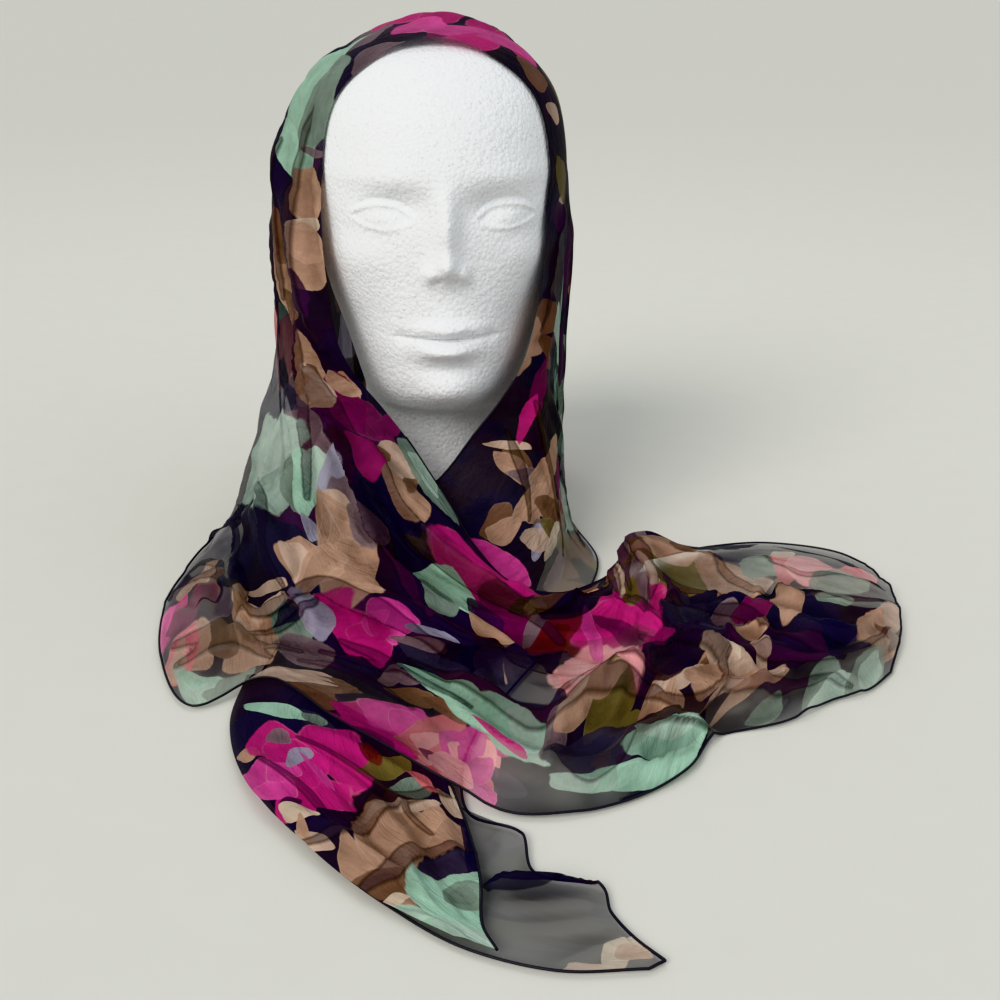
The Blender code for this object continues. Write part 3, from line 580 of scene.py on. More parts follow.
def veilFolds():  # the cloth behind the head falls in soft pleats, no two alike
    folds = []
    first, spread, count = scarf["veilBroad"]
    for i in range(count):
        place = first + spread * (i + 0.5) / count
        top = (place, 0.36 + 0.05 * math.sin(1.9 * i + 1.6))
        bottom = (place + 0.12 * math.sin(2.3 * i), 1.0)
        height = (5.5 if i % 2 else -5.5) * (1.0 + 0.35 * math.sin(1.7 * i + 0.6))
        folds.append(((top, bottom), 11.0, height, 0.0))
    first, spread, count = scarf["veilFine"]
    for i in range(count):  # finer ones between them
        place = first + spread * (i + 0.5 + 0.3 * math.sin(3.1 * i)) / count
        top = (place, 0.30 + 0.14 * (0.5 + 0.5 * math.sin(2.7 * i + 0.4)))
        bottom = (place + 0.2 * math.sin(1.3 * i + 2.0), 0.72 + 0.26 * (0.5 + 0.5 * math.sin(4.3 * i)))
        folds.append(((top, bottom), 5.0 + 1.5 * math.sin(2.1 * i), 2.2 * math.sin(1.1 * i + 0.5) - 0.6, 0.0))
    return folds


def gathers(cloth):
    # Fine soft gathers, deep where the cloth is drawn together and faint where it is taut. They run along
    # the scarf over the chest and in the tails, and across it where it hangs from the head.
    sections, shares = cloth["sections"], cloth["shares"]
    depth = np.interp(sections, *scarf["gatherDepth"])
    hanging = np.interp(sections, *scarf["hanging"])[:, None]
    u = cloth["lengths"][:, None]
    v = shares[None, :] * cloth["widths"][:, None]
    total = np.zeros((len(sections), len(shares)))
    for wave, amount, sway, drift, start in scarf["gathers"]:
        for way, run, share in ((v, u, 1.0 - hanging), (u, v, hanging)):
            phase = 2 * np.pi * way / wave + sway * np.sin(2 * np.pi * run / drift + start)
            phase = phase + 0.7 * np.sin(2 * np.pi * (0.35 * way + run) / 0.11)
            fading = 0.5 + 0.5 * np.sin(2 * np.pi * run / (drift * 1.7) + way / 0.02 + start)
            total += share * amount * (np.abs(np.sin(phase / 2 + start)) ** 0.8 - 0.6) * fading
    edge = np.clip(np.minimum(shares, 1.0 - shares) / scarf["gatherEdge"], 0.0, 1.0)[None, :]
    return total * depth[:, None] * 0.001 * edge


def blurred(field, reach, times=3):  # the mean over a square, so many cells to each side, several times
    for _ in range(times):
        for axis in (0, 1):
            pads = [(0, 0), (0, 0)]
            pads[axis] = (reach + 1, reach)
            total = np.cumsum(np.pad(field, pads, mode="edge"), axis=axis)
            size = field.shape[axis]
            high = np.take(total, range(2 * reach + 1, 2 * reach + 1 + size), axis=axis)
            field = (high - np.take(total, range(0, size), axis=axis)) / (2 * reach + 1)
    return field


def softened(lift, times):  # spreads what is needed outwards, and takes nothing from it
    spread = lift.copy()
    for _ in range(times):
        padded = np.pad(spread, 1, mode="edge")
        mean = (padded[:-2, 1:-1] + padded[2:, 1:-1] + padded[1:-1, :-2] + padded[1:-1, 2:]) / 4
        spread = np.maximum(lift, mean)
    return spread


def treeOf(mesh):
    return BVHTree.FromPolygons([vertex.co for vertex in mesh.vertices],
                                [tuple(face.vertices) for face in mesh.polygons])


def gridTree(grid):
    rows, columns = grid.shape[:2]
    number = np.arange(rows * columns).reshape(rows, columns)
    faces = np.stack([number[:-1, :-1], number[1:, :-1], number[1:, 1:], number[:-1, 1:]], axis=2)
    return BVHTree.FromPolygons([tuple(p) for p in grid.reshape(-1, 3)],
                                [tuple(f) for f in faces.reshape(-1, 4).tolist()])


def liftOver(grid, trees):
    # Lifts a layer off those under it. The need is found on every few points, and is spread between them.
    stride, count = scarf["stride"], scarf["probes"]
    rows = np.unique(np.append(np.arange(0, grid.shape[0], stride), grid.shape[0] - 1))
    columns = np.unique(np.append(np.arange(0, grid.shape[1], stride), grid.shape[1] - 1))
    needed = np.zeros((len(rows), len(columns)))
    down = Vector((0.0, 0.0, -1.0))
    probes = [(0.0, 0.0)] + [(r * math.cos(math.tau * k / count), r * math.sin(math.tau * k / count))
                             for r in scarf["probeRings"] for k in range(count)]
    for i, row in enumerate(rows):
        for j, column in enumerate(columns):
            x, y, z = grid[row, column]
            for dx, dy in probes:
                for lower in trees:
                    hit = lower.ray_cast(Vector((x + dx, y + dy, 1.0)), down)[0]
                    if hit:
                        needed[i, j] = max(needed[i, j], hit.z + scarf["layerGap"] - z)
    needed = softened(needed, 3)
    atColumns = np.stack([np.interp(np.arange(grid.shape[1]), columns, line) for line in needed])
    grid[..., 2] += np.stack([np.interp(np.arange(grid.shape[0]), rows, atColumns[:, j])
                              for j in range(grid.shape[1])], axis=1)


def keepClear(grid, tree):  # moves what is too near the head, or in it, straight out from its skin
    for index in np.ndindex(grid.shape[:2]):
        point = Vector(grid[index])
        near, normal, _, _ = tree.find_nearest(point)
        if near.z > scarf["headBase"] and (point - near).dot(normal) < scarf["headGap"]:
            grid[index] = near + normal * scarf["headGap"]


# The cloth's folds, pleats and printed motifs are placed where they show: x and y in the camera's view, in
# marks, thousandths of its width, from its top left corner. These functions find the cloth that lies there.

def lookAt(cloth, nearer=0.0):  # where each point of the cloth shows, and its depth
    away = cloth["grid"] - np.array(view["place"])
    tilt = math.radians(view["pitch"])
    depth = away[..., 1] * math.cos(tilt) - away[..., 2] * math.sin(tilt)
    height = away[..., 1] * math.sin(tilt) + away[..., 2] * math.cos(tilt)
    middle, focus = view["marks"] / 2, view["marks"] * view["lens"] / view["sensor"]
    cloth["seen"] = np.stack([middle + focus * away[..., 0] / depth, middle - focus * height / depth], axis=2)
    cloth["depth"] = depth - nearer


def clothAt(cloth, x, y):  # row and column of the nearest layer that shows at a place in the view
    off = np.hypot(cloth["seen"][..., 0] - x, cloth["seen"][..., 1] - y)
    close = off < max(scarf["reach"], off.min() + 0.5)
    front = close & (cloth["depth"] < cloth["depth"][close].min() + scarf["skinDepth"])
    return np.unravel_index(np.argmin(np.where(front, off, np.inf)), off.shape)


def pathAt(cloth, points):  # the same path on the cloth, as (section, share)
    found = [clothAt(cloth, x, y) for x, y in points]
    return [(cloth["sections"][i], cloth["shares"][j]) for i, j in found]


def pathsAt(cloth, rows):
    return [(pathAt(cloth, path), *sizes) for path, *sizes in rows]


def motifAt(cloth, colour, heelX, heelY, tipX, tipY, wide, kind="petal"):
    # Its middle as (section, share), its length and width on the cloth in mm and its turn in degrees.
    i, j = clothAt(cloth, (heelX + tipX) / 2, (heelY + tipY) / 2)
    before, after = max(i - 3, 0), min(i + 3, len(cloth["sections"]) - 1)
    left, right = max(j - 3, 0), min(j + 3, len(cloth["shares"]) - 1)
    along = (cloth["lengths"][after] - cloth["lengths"][before]) * cloth["scales"][i, j]
    across = (cloth["shares"][right] - cloth["shares"][left]) * cloth["widths"][i]
    seen = cloth["seen"]
    spread = np.stack([(seen[after, j] - seen[before, j]) / along,
                       (seen[i, right] - seen[i, left]) / across], axis=1)
    reach = np.array([tipX - heelX, tipY - heelY], float)
    onCloth = np.linalg.solve(spread, reach)
    length = np.linalg.norm(onCloth)
    width = np.linalg.norm(reach) * wide / abs(np.linalg.det(spread)) / length
    # where the cloth runs away from the eye, a motif is at most about twice its size in the view
    least, most, stretch = scarf["motifLength"]
    length = np.clip(length, least, min(stretch * np.linalg.norm(reach) * view["markSize"], most))
    least, most, stretch = scarf["motifWidth"]
    width = np.clip(width, least, max(min(stretch * wide * view["markSize"], most), least))
    turn = math.degrees(math.atan2(onCloth[1], onCloth[0]))
    return colour, cloth["sections"][i], cloth["shares"][j], length * 1000, width * 1000, turn, kind


def patchDepth(flat, corners):  # how far inside a patch of the flat cloth each place lies, negative outside
    inside = np.zeros(flat.shape[:2], bool)
    nearest = np.full(flat.shape[:2], np.inf)
    for start, end in zip(corners, np.roll(corners, -1, axis=0)):
        step = end - start
        offset = flat - start
        along = np.clip((offset @ step) / (step @ step), 0.0, 1.0)
        nearest = np.minimum(nearest, np.linalg.norm(offset - along[..., None] * step, axis=2))
        crosses = (start[1] > flat[..., 1]) != (end[1] > flat[..., 1])
        meets = start[0] + (flat[..., 1] - start[1]) / np.where(step[1] == 0, 1e-12, step[1]) * step[0]
        inside ^= crosses & (flat[..., 0] < meets)
    return np.where(inside, nearest, -nearest)


def hollowShare(rise):  # 0 on crests and open cloth, 1 in the valleys, where cloth gathers: it thickens the cloth there and paints shade on it
    return np.clip((blurred(rise, 4) - rise) / scarf["hollowDepth"], 0.0, 1.0)


def patchesDepth(cloth, patches):  # the same for several patches, with corners as (section, share)
    span = cloth["across"][-1]
    corners = [np.array([[lengthAt(cloth, s), share * span] for s, share in patch]) for patch in patches]
    return np.max([patchDepth(cloth["flat"], patch) for patch in corners], axis=0)


def clothPiece(name, cloth, material):
    # A flat bmesh grid whose points are moved to their places on the loft.
    rows, columns = cloth["grid"].shape[:2]
    form = bmesh.new()
    bmesh.ops.create_grid(form, x_segments=rows - 1, y_segments=columns - 1, size=1.0)
    flatPlaces = np.array([v.co for v in form.verts])
    i = np.rint((flatPlaces[:, 0] + 1.0) / 2.0 * (rows - 1)).astype(int)
    j = np.rint((flatPlaces[:, 1] + 1.0) / 2.0 * (columns - 1)).astype(int)
    for vertex, place in zip(form.verts, cloth["grid"][i, j]):
        vertex.co = place
    piece = meshObject(name, form, material)
    mesh = piece.data
    loopVertex = np.zeros(len(mesh.loops), int)
    mesh.loops.foreach_get("vertex_index", loopVertex)

    flatMap = mesh.uv_layers.new(name="flat_cloth")  # metres on the cloth laid flat
    metres = np.stack([cloth["lengths"][i], cloth["shares"][j] * cloth["widths"][i]], axis=1)
    flatMap.data.foreach_set("uv", metres[loopVertex].astype(np.float32).ravel())
    # how far inside doubled cloth and inside a tuck each point lies, and how hollow it is there
    state = mesh.attributes.new("cloth_state", "FLOAT_VECTOR", "POINT")
    values = np.stack([cloth["doubled"], cloth["tucks"], cloth["hollows"]], axis=2)[i, j]
    state.data.foreach_set("vector", values.astype(np.float32).ravel())
    # row and column of each face's corners
    cloth["corners"] = np.stack([i, j], axis=1)[loopVertex.reshape(-1, 4)]
    return piece


def printPetals(piece, cloth, petals):
    # Each face keeps the topmost petals over it, with its corners' places along (-1 to 1) and across them.
    sections, shares = cloth["sections"], cloth["shares"]
    faceU = cloth["lengths"][cloth["corners"][..., 0]]
    faceShare = shares[cloth["corners"][..., 1]]
    middleU, middleShare = faceU.mean(axis=1), faceShare.mean(axis=1)
    dyeNames = [dye[0] for dye in palette["dyes"]]
    slots = np.zeros((palette["layers"], len(faceU), 4, 3), np.float32)
    slots[..., 0] = palette["noPetal"]
    for number, (colour, section, place, length, width, angle, kind) in enumerate(petals):
        length, width = length * palette["swell"], width * palette["swell"]
        centre = lengthAt(cloth, section)
        across = np.interp(section, sections, cloth["widths"])
        row = min(np.searchsorted(sections, section), len(sections) - 1)
        scale = cloth["scales"][row, min(int(place * (len(shares) - 1)), len(shares) - 1)]
        reach = 0.5 * max(length, width) * 0.001 * 1.5
        beside = np.abs(middleShare - place) * across < reach
        near = np.nonzero((np.abs(middleU - centre) * scale < reach) & beside)[0]
        du, dv = (faceU[near] - centre) * scale, (faceShare[near] - place) * across
        turn = math.radians(angle)
        p = (du * math.cos(turn) + dv * math.sin(turn)) / (length * 0.0005)
        q = (-du * math.sin(turn) + dv * math.cos(turn)) / (width * 0.0005)
        # the outline: a leaf narrows to both ends, a petal bends and has a few soft lobes
        start = 7.3 * number
        if kind == "leaf":
            q = (q - 0.30 * math.sin(start) * (1.0 - p**2)) / np.clip(1.0 - 0.75 * p**2, 0.12, None)
        else:
            q = (q - 0.22 * math.sin(start) * (1.0 - p**2)) / (1.0 + 0.28 * p)
            around = np.arctan2(q, p)
            lobes = 1.0 + 0.07 * np.sin(3.0 * around + start) + 0.05 * np.sin(5.0 * around + 1.7 * start)
            p, q = p * lobes, q * lobes
        covered = (p**2 + q**2).min(axis=1) < palette["covered"]
        near, p, q = near[covered], p[covered], q[covered]
        # the dye's number, a share that tells petals apart, and half a step more for a leaf
        tone = 0.05 + 0.4 * (0.5 + 0.5 * math.sin(number * 12.9898))
        code = dyeNames.index(colour) + tone + (0.5 if kind == "leaf" else 0.0)
        slots[1:, near] = slots[:-1, near]
        hidden = near[(p**2 + q**2).max(axis=1) < palette["hidden"]]
        slots[1:, hidden, :, 0] = palette["noPetal"]
        slots[0, near] = np.stack([p, q, np.full(p.shape, code)], axis=2)
    for slot in range(palette["layers"]):
        held = piece.data.attributes.new("petal_%d" % (slot + 1), "FLOAT_VECTOR", "CORNER")
        held.data.foreach_set("vector", slots[slot].ravel())


def rolledHem(name, line, radius, material):
    # A narrow hem rolled in dark thread: a slim tube along the cloth's edge.
    curve = bpy.data.curves.new(name, "CURVE")
    curve.dimensions = "3D"
    curve.bevel_depth = radius
    curve.bevel_resolution = 1
    curve.use_fill_caps = True
    spline = curve.splines.new("POLY")
    spline.points.add(len(line) - 1)
    for point, place in zip(spline.points, line):
        point.co = (*place, 1.0)
    holder = addObject(name + "_curve", curve)
    bpy.context.view_layer.update()
    mesh = bpy.data.meshes.new_from_object(holder.evaluated_get(bpy.context.evaluated_depsgraph_get()))
    bpy.data.objects.remove(holder)
    mesh.materials.clear()
    mesh.materials.append(material)
    mesh.shade_smooth()
    return addObject(name, mesh)


palette = {
    # dye, its colour, and how strongly a pale rim shows round its petals
    "dyes": (
        ("navy", "#110d2e", 0.0), ("purpleBlack", "#150b1f", 0.0), ("magenta", "#c6307c", 0.10),
        ("hotPink", "#dc549f", 0.14), ("coral", "#dd7a80", 0.12), ("salmon", "#f2a6a8", 0.14),
        ("mint", "#a8d2ba", 0.10), ("paleMint", "#b3cdbd", 0.10), ("greyMint", "#7d9082", 0.08),
        ("tan", "#c09a82", 0.14), ("brown", "#7a5b47", 0.08), ("beige", "#d4b7a3", 0.14),
        ("taupe", "#7d6a70", 0.10), ("redBrown", "#5e1a12", 0.06), ("olive", "#75683e", 0.08),
        ("lilacGrey", "#a39fb4", 0.12), ("darkMagenta", "#6f0c48", 0.05), ("slate", "#3b3848", 0.0),
        ("cream", "#dcc8b0", 0.10), ("plum", "#34093a", 0.0),
    ),
    "layers": 6,  # how many petals a face can hold over each other
    "noPetal": 9.0,  # the place along a petal that says that there is none
    "swell": 1.14,  # petals are drawn a little larger, as their rims come in here and there
    # a face holds a petal that comes this near it, and drops those under one that covers it so far
    "covered": 1.28,
    "hidden": 0.5,
    "rim": "#eadfd0",
    "groundPurple": "#160b21",
    "groundNavy": "#100c2b",
    "thread": "#07060c",
    "threadPaintedSheen": "#181426",
    # the dyes that show faintly through doubled cloth from the layer beneath
    "beneath": ("navy", "purpleBlack", "brown", "taupe", "redBrown", "olive", "darkMagenta", "slate", "plum"),
}


def dyeRamp(tree, place, names):  # a ramp of flat steps, one a dye; its alpha holds the rim's strength
    dyes = [dye for dye in palette["dyes"] if dye[0] in names]
    ramp = addNode(tree, "ShaderNodeValToRGB", None, {"Fac": place})
    ramp.color_ramp.interpolation = "CONSTANT"
    while len(ramp.color_ramp.elements) < len(dyes):
        ramp.color_ramp.elements.new(0.5)
    for i in range(len(dyes)):
        ramp.color_ramp.elements[i].position = i / len(dyes)
    for i, (name, hexText, rim) in enumerate(dyes):
        ramp.color_ramp.elements[i].color = linearColour(hexText)[:3] + [rim]
    return ramp


def petalLayer(tree, number, wobble, mottle, fading, below):
    # One layer of printed petals, paler to their tips, each with a thin pale rim, and veins on a leaf.
    data = addNode(tree, "ShaderNodeAttribute", {"attribute_name": "petal_%d" % number}).outputs["Vector"]
    shifted = addNode(tree, "ShaderNodeVectorMath", {"operation": "ADD"}, {0: data, 1: wobble})
    level = addNode(tree, "ShaderNodeVectorMath", {"operation": "MULTIPLY", 1: (1.0, 1.0, 0.0)}, {0: shifted})
    radius = addNode(tree, "ShaderNodeVectorMath", {"operation": "LENGTH"},
                     {0: level}).outputs["Value"]
    parts = addNode(tree, "ShaderNodeSeparateXYZ", None, {"Vector": data})
    along, across, code = parts.outputs["X"], parts.outputs["Y"], parts.outputs["Z"]
    fraction = addNode(tree, "ShaderNodeMath", {"operation": "FRACT"}, {0: code})
    index = addNode(tree, "ShaderNodeMath", {"operation": "FLOOR"}, {0: code})
    count = len(palette["dyes"])
    place = addNode(tree, "ShaderNodeMath", {"operation": "MULTIPLY_ADD", 1: 1.0 / count, 2: 0.5 / count},
                    {0: index})
    dye = dyeRamp(tree, place, [dye[0] for dye in palette["dyes"]])

    # paler from heel to tip, and each petal a little lighter or darker than the next
    heart = addNode(tree, "ShaderNodeMapRange",
                    {"From Min": -1.0, "From Max": 0.9, "To Min": 0.88, "To Max": 1.28}, {"Value": along})
    tone = addNode(tree, "ShaderNodeMath", {"operation": "PINGPONG", 1: 0.25}, {0: fraction})
    tone = addNode(tree, "ShaderNodeMath", {"operation": "MULTIPLY_ADD", 1: 1.1}, {0: tone, 2: heart})
    tone = addNode(tree, "ShaderNodeMath", {"operation": "MULTIPLY"}, {0: tone, 1: mottle})
    toned = addNode(tree, "ShaderNodeVectorMath", {"operation": "SCALE"}, {0: dye, "Scale": tone})

    leaf = addNode(tree, "ShaderNodeMath", {"operation": "GREATER_THAN", 1: 0.5}, {0: fraction})
    aside = addNode(tree, "ShaderNodeMath", {"operation": "ABSOLUTE"}, {0: across})
    slant = addNode(tree, "ShaderNodeMath", {"operation": "MULTIPLY_ADD", 1: -0.6}, {0: aside, 2: along})
    comb = addNode(tree, "ShaderNodeMath", {"operation": "PINGPONG", 1: 0.15}, {0: slant})
    comb = addNode(tree, "ShaderNodeMath", {"operation": "MULTIPLY", 1: 2.5}, {0: comb})
    nearest = addNode(tree, "ShaderNodeMath", {"operation": "MINIMUM"}, {0: comb, 1: aside})
    veins = addNode(tree, "ShaderNodeMapRange",
                    {"From Min": 0.02, "From Max": 0.05, "To Min": 0.26, "To Max": 0.0},
                    {"Value": nearest})
    veins = addNode(tree, "ShaderNodeMath", {"operation": "MULTIPLY"}, {0: veins, 1: leaf})
    rim = addNode(tree, "ShaderNodeMapRange", {"From Min": 0.93, "From Max": 0.97}, {"Value": radius})
    rim = addNode(tree, "ShaderNodeMath", {"operation": "MULTIPLY"}, {0: rim, 1: dye.outputs["Alpha"]})
    rim = addNode(tree, "ShaderNodeMath", {"operation": "MULTIPLY"}, {0: rim, 1: fading})
    lines = addNode(tree, "ShaderNodeMath", {"operation": "ADD"}, {0: rim, 1: veins})
    lined = addNode(tree, "ShaderNodeMix", {"data_type": "RGBA", 7: linearColour(palette["rim"])},
                    {0: lines, 6: toned})
    mask = addNode(tree, "ShaderNodeMapRange",
                   {"From Min": 0.975, "From Max": 1.025, "To Min": 0.90, "To Max": 0.0}, {"Value": radius})
    merged = addNode(tree, "ShaderNodeMix", {"data_type": "RGBA"}, {0: mask, 6: below, 7: lined.outputs[2]})
    return merged.outputs[2]


def fadedBy(tree, value, fades):  # a value that each of these takes a share of
    for socket, share in fades:
        kept = addNode(tree, "ShaderNodeMath", {"operation": "MULTIPLY_ADD", 1: -share, 2: 1.0}, {0: socket})
        value = addNode(tree, "ShaderNodeMath", {"operation": "MULTIPLY"}, {0: value, 1: kept})
    return value


def printedPattern(tree, flat):  # the ground dyes and all layers of petals over them
    bleed = addNode(tree, "ShaderNodeTexNoise", {"Scale": scaleFor(21.7), "Detail": 4.0, "Roughness": 0.58},
                    {"Vector": flat})
    centred = addNode(tree, "ShaderNodeVectorMath", {"operation": "SUBTRACT", 1: (0.5, 0.5, 0.5)},
                      {0: bleed.outputs["Color"]})
    wobble = addNode(tree, "ShaderNodeVectorMath", {"operation": "MULTIPLY", 1: (0.46, 0.46, 0.0)},
                     {0: centred})
    washes = addNode(tree, "ShaderNodeTexNoise", {"Scale": scaleFor(12.5), "Detail": 4.0, "Roughness": 0.62},
                     {"Vector": flat})
    mottle = addNode(tree, "ShaderNodeMapRange",
                     {"From Min": 0.3, "From Max": 0.7, "To Min": 0.80, "To Max": 1.12},
                     {"Value": washes})
    # the rims come and go, as the screens meet or miss
    fading = addNode(tree, "ShaderNodeMapRange",
                     {"From Min": 0.46, "From Max": 0.56, "To Min": 0.0, "To Max": 1.8},
                     {"Value": bleed})
    clouds = addNode(tree, "ShaderNodeTexNoise", {"Scale": scaleFor(50.0), "Detail": 2.0}, {"Vector": flat})
    ground = addNode(tree, "ShaderNodeValToRGB", None, {"Fac": clouds})
    ground.color_ramp.elements[0].position, ground.color_ramp.elements[1].position = 0.47, 0.50
    ground.color_ramp.elements[0].color = linearColour(palette["groundPurple"])
    ground.color_ramp.elements[1].color = linearColour(palette["groundNavy"])
    colour = ground
    for number in range(palette["layers"], 0, -1):
        colour = petalLayer(tree, number, wobble, mottle, fading, colour)
    return colour, ground, bleed


def crimpedWeave(tree, flat):  # the weave, 0.3 mm in the real cloth, is drawn 1.1 mm coarse so that it shows
    weave = addNode(tree, "ShaderNodeTexNoise", {"Scale": scaleFor(1.111), "Detail": 1.0}, {"Vector": flat})
    drawn = addNode(tree, "ShaderNodeMapping", {"Scale": (0.35, 1.0, 1.0)}, {"Vector": flat})
    crimp = addNode(tree, "ShaderNodeTexNoise",
                    {"Scale": scaleFor(4.76), "Detail": 2.0, "Roughness": 0.6, "Distortion": 1.2},
                    {"Vector": drawn})
    relief = addNode(tree, "ShaderNodeMath", {"operation": "MULTIPLY_ADD", 1: 0.25}, {0: weave, 2: crimp})
    return addNode(tree, "ShaderNodeBump", {"Strength": 0.6, "Distance": 0.0020}, {"Height": relief})


def makeChiffon():
    # Chiffon: sheer plain weave of crimped polyester thread, screen printed. One layer lets about half of
    # the light through, doubled cloth is nearly opaque and shows the print beneath it, and the dye's edges
    # are crisp.
    material, tree = newMaterial("printed_chiffon")
    flat = addNode(tree, "ShaderNodeUVMap", {"uv_map": "flat_cloth"})
    colour, ground, bleed = printedPattern(tree, flat)
    state = addNode(tree, "ShaderNodeAttribute", {"attribute_name": "cloth_state"})
    stateParts = addNode(tree, "ShaderNodeSeparateXYZ", None, {"Vector": state.outputs["Vector"]})
    folded = addNode(tree, "ShaderNodeMapRange", {"From Min": -0.0004, "From Max": 0.0004},
                     {"Value": stateParts.outputs["X"]})
    tuck = addNode(tree, "ShaderNodeMapRange", {"From Min": -0.0002, "From Max": 0.0003},
                   {"Value": stateParts.outputs["Y"]})
    hollow = stateParts.outputs["Z"]

    # where cloth lies doubled, the print of the layer beneath shows faintly through, in broad shapes
    nudge = addNode(tree, "ShaderNodeVectorMath", {"operation": "MULTIPLY_ADD", 1: (0.05, 0.05, 0.0)},
                    {0: bleed.outputs["Color"], 2: flat})
    shapes = addNode(tree, "ShaderNodeTexVoronoi", {"Scale": scaleFor(41.7)}, {"Vector": nudge})
    pick = addNode(tree, "ShaderNodeSeparateColor", None, {"Color": shapes.outputs["Color"]})
    beneath = dyeRamp(tree, pick.outputs["Red"], palette["beneath"])
    beneath = addNode(tree, "ShaderNodeMix", {"data_type": "RGBA", 0: 0.3}, {6: ground, 7: beneath})
    ghost = addNode(tree, "ShaderNodeMath", {"operation": "MULTIPLY", 1: 0.15}, {0: folded})
    ghost = addNode(tree, "ShaderNodeMath", {"operation": "MULTIPLY_ADD", 1: 0.45}, {0: tuck, 2: ghost})
    colour = addNode(tree, "ShaderNodeMix", {"data_type": "RGBA"},
                     {0: ghost, 6: colour, 7: beneath.outputs[2]}).outputs[2]

    # painted shade: a thin dark line along each folded edge, and darker colour in tucks and in the hollows of
    # folds and gathers
    fromEdge = addNode(tree, "ShaderNodeMath", {"operation": "ABSOLUTE"}, {0: stateParts.outputs["Y"]})
    crease = addNode(tree, "ShaderNodeMapRange",
                     {"From Min": 0.0002, "From Max": 0.0009, "To Min": 0.45, "To Max": 1.0},
                     {"Value": fromEdge})
    # painted shade: colour kept at the crease lines, in tucks and in hollows
    paintedShade = fadedBy(tree, crease, ((tuck, 0.15), (hollow, 0.36)))
    colour = addNode(tree, "ShaderNodeVectorMath", {"operation": "SCALE"}, {0: colour, "Scale": paintedShade})

    # light let through: 0.52 by one layer, falling with doubled cloth, tucks and the gathers of the hollows
    single = addNode(tree, "ShaderNodeMath", {"operation": "MULTIPLY_ADD", 1: -0.88, 2: 1.0}, {0: folded})
    clear = fadedBy(tree, single, ((tuck, 0.7), (hollow, 0.45)))
    solid = addNode(tree, "ShaderNodeMath", {"operation": "MULTIPLY_ADD", 1: -0.52, 2: 1.0}, {0: clear})

    bump = crimpedWeave(tree, flat)
    dyed = addNode(tree, "ShaderNodeBsdfPrincipled",
                   {"Roughness": 0.5, "IOR": 1.5, "Specular IOR Level": 0.12, "Sheen Weight": 0.02,
                    "Sheen Roughness": 0.5}, {"Base Color": colour, "Normal": bump})
    glow = addNode(tree, "ShaderNodeBsdfTranslucent", None, {"Color": colour, "Normal": bump})
    cloth = addNode(tree, "ShaderNodeMixShader", {0: 0.22}, {1: dyed, 2: glow})
    gaps = addNode(tree, "ShaderNodeBsdfTransparent")
    sheer = addNode(tree, "ShaderNodeMixShader", None, {0: solid, 1: gaps, 2: cloth})
    addNode(tree, "ShaderNodeOutputMaterial", None, {"Surface": sheer})
    return material


def makeThread():
    # Overlocked polyester thread: near black, with a slight gloss along its turns painted in as a lighter
    # tone.
    material, tree = newMaterial("hem_thread")
    place = addNode(tree, "ShaderNodeTexCoord").outputs["Object"]
    turns = addNode(tree, "ShaderNodeTexNoise", {"Scale": scaleFor(1.111), "Detail": 2.0}, {"Vector": place})
    # painted sheen: a lighter tone along the thread's turns
    shade = addNode(tree, "ShaderNodeMix",
                    {"data_type": "RGBA", 6: linearColour(palette["thread"]),
                     7: linearColour(palette["threadPaintedSheen"])}, {0: turns})
    bump = addNode(tree, "ShaderNodeBump", {"Strength": 0.5, "Distance": 0.0004}, {"Height": turns})
    thread = addNode(tree, "ShaderNodeBsdfPrincipled", {"Roughness": 0.55, "IOR": 1.5},
                     {"Base Color": shade.outputs[2], "Normal": bump})
    addNode(tree, "ShaderNodeOutputMaterial", None, {"Surface": thread})
    return material


# folds: path of (section, share from the face edge to the hem), half width and height in mm, and lean to
# its left in mm
broadFolds = [
    # broad ones, beside the face and over the chest
    (((11.0, 0.10), (14.0, 0.13), (17.0, 0.16), (20.0, 0.15)), 10.0, 4.5, 0.0),
    (((12.0, 0.25), (15.0, 0.30), (18.0, 0.33)), 13.0, -3.5, 0.0),
    (((6.5, 0.30), (9.0, 0.26), (12.0, 0.24), (14.5, 0.28)), 14.0, 5.5, 0.0),
    (((4.4, 0.80), (7.5, 0.77), (9.5, 0.68), (12.0, 0.58), (14.0, 0.56)), 16.0, 11.5, 0.0),
    (((6.5, 0.52), (9.0, 0.47), (12.0, 0.42)), 13.0, -3.5, 0.0),
    # broad ones over the left spread, the right tail and down the right side
    (((13.5, 0.80), (14.6, 0.60), (15.2, 0.40)), 12.0, 5.5, 0.0),
    (((15.2, 0.90), (15.6, 0.65), (15.9, 0.42)), 11.0, 5.5, 0.0),
    (((0.4, 0.30), (2.0, 0.36), (4.0, 0.34)), 11.0, 3.5, 0.0),
    (((0.6, 0.58), (2.5, 0.62), (5.0, 0.56)), 12.0, 8.0, 0.0),
    (((1.0, 0.82), (3.5, 0.84), (5.5, 0.86)), 11.0, 4.5, 0.0),
    (((27.0, 0.12), (29.0, 0.16), (31.0, 0.18)), 10.0, 3.5, 0.0),
    (((28.2, 0.80), (28.6, 0.50), (28.9, 0.30)), 10.0, 3.5, 0.0),
]

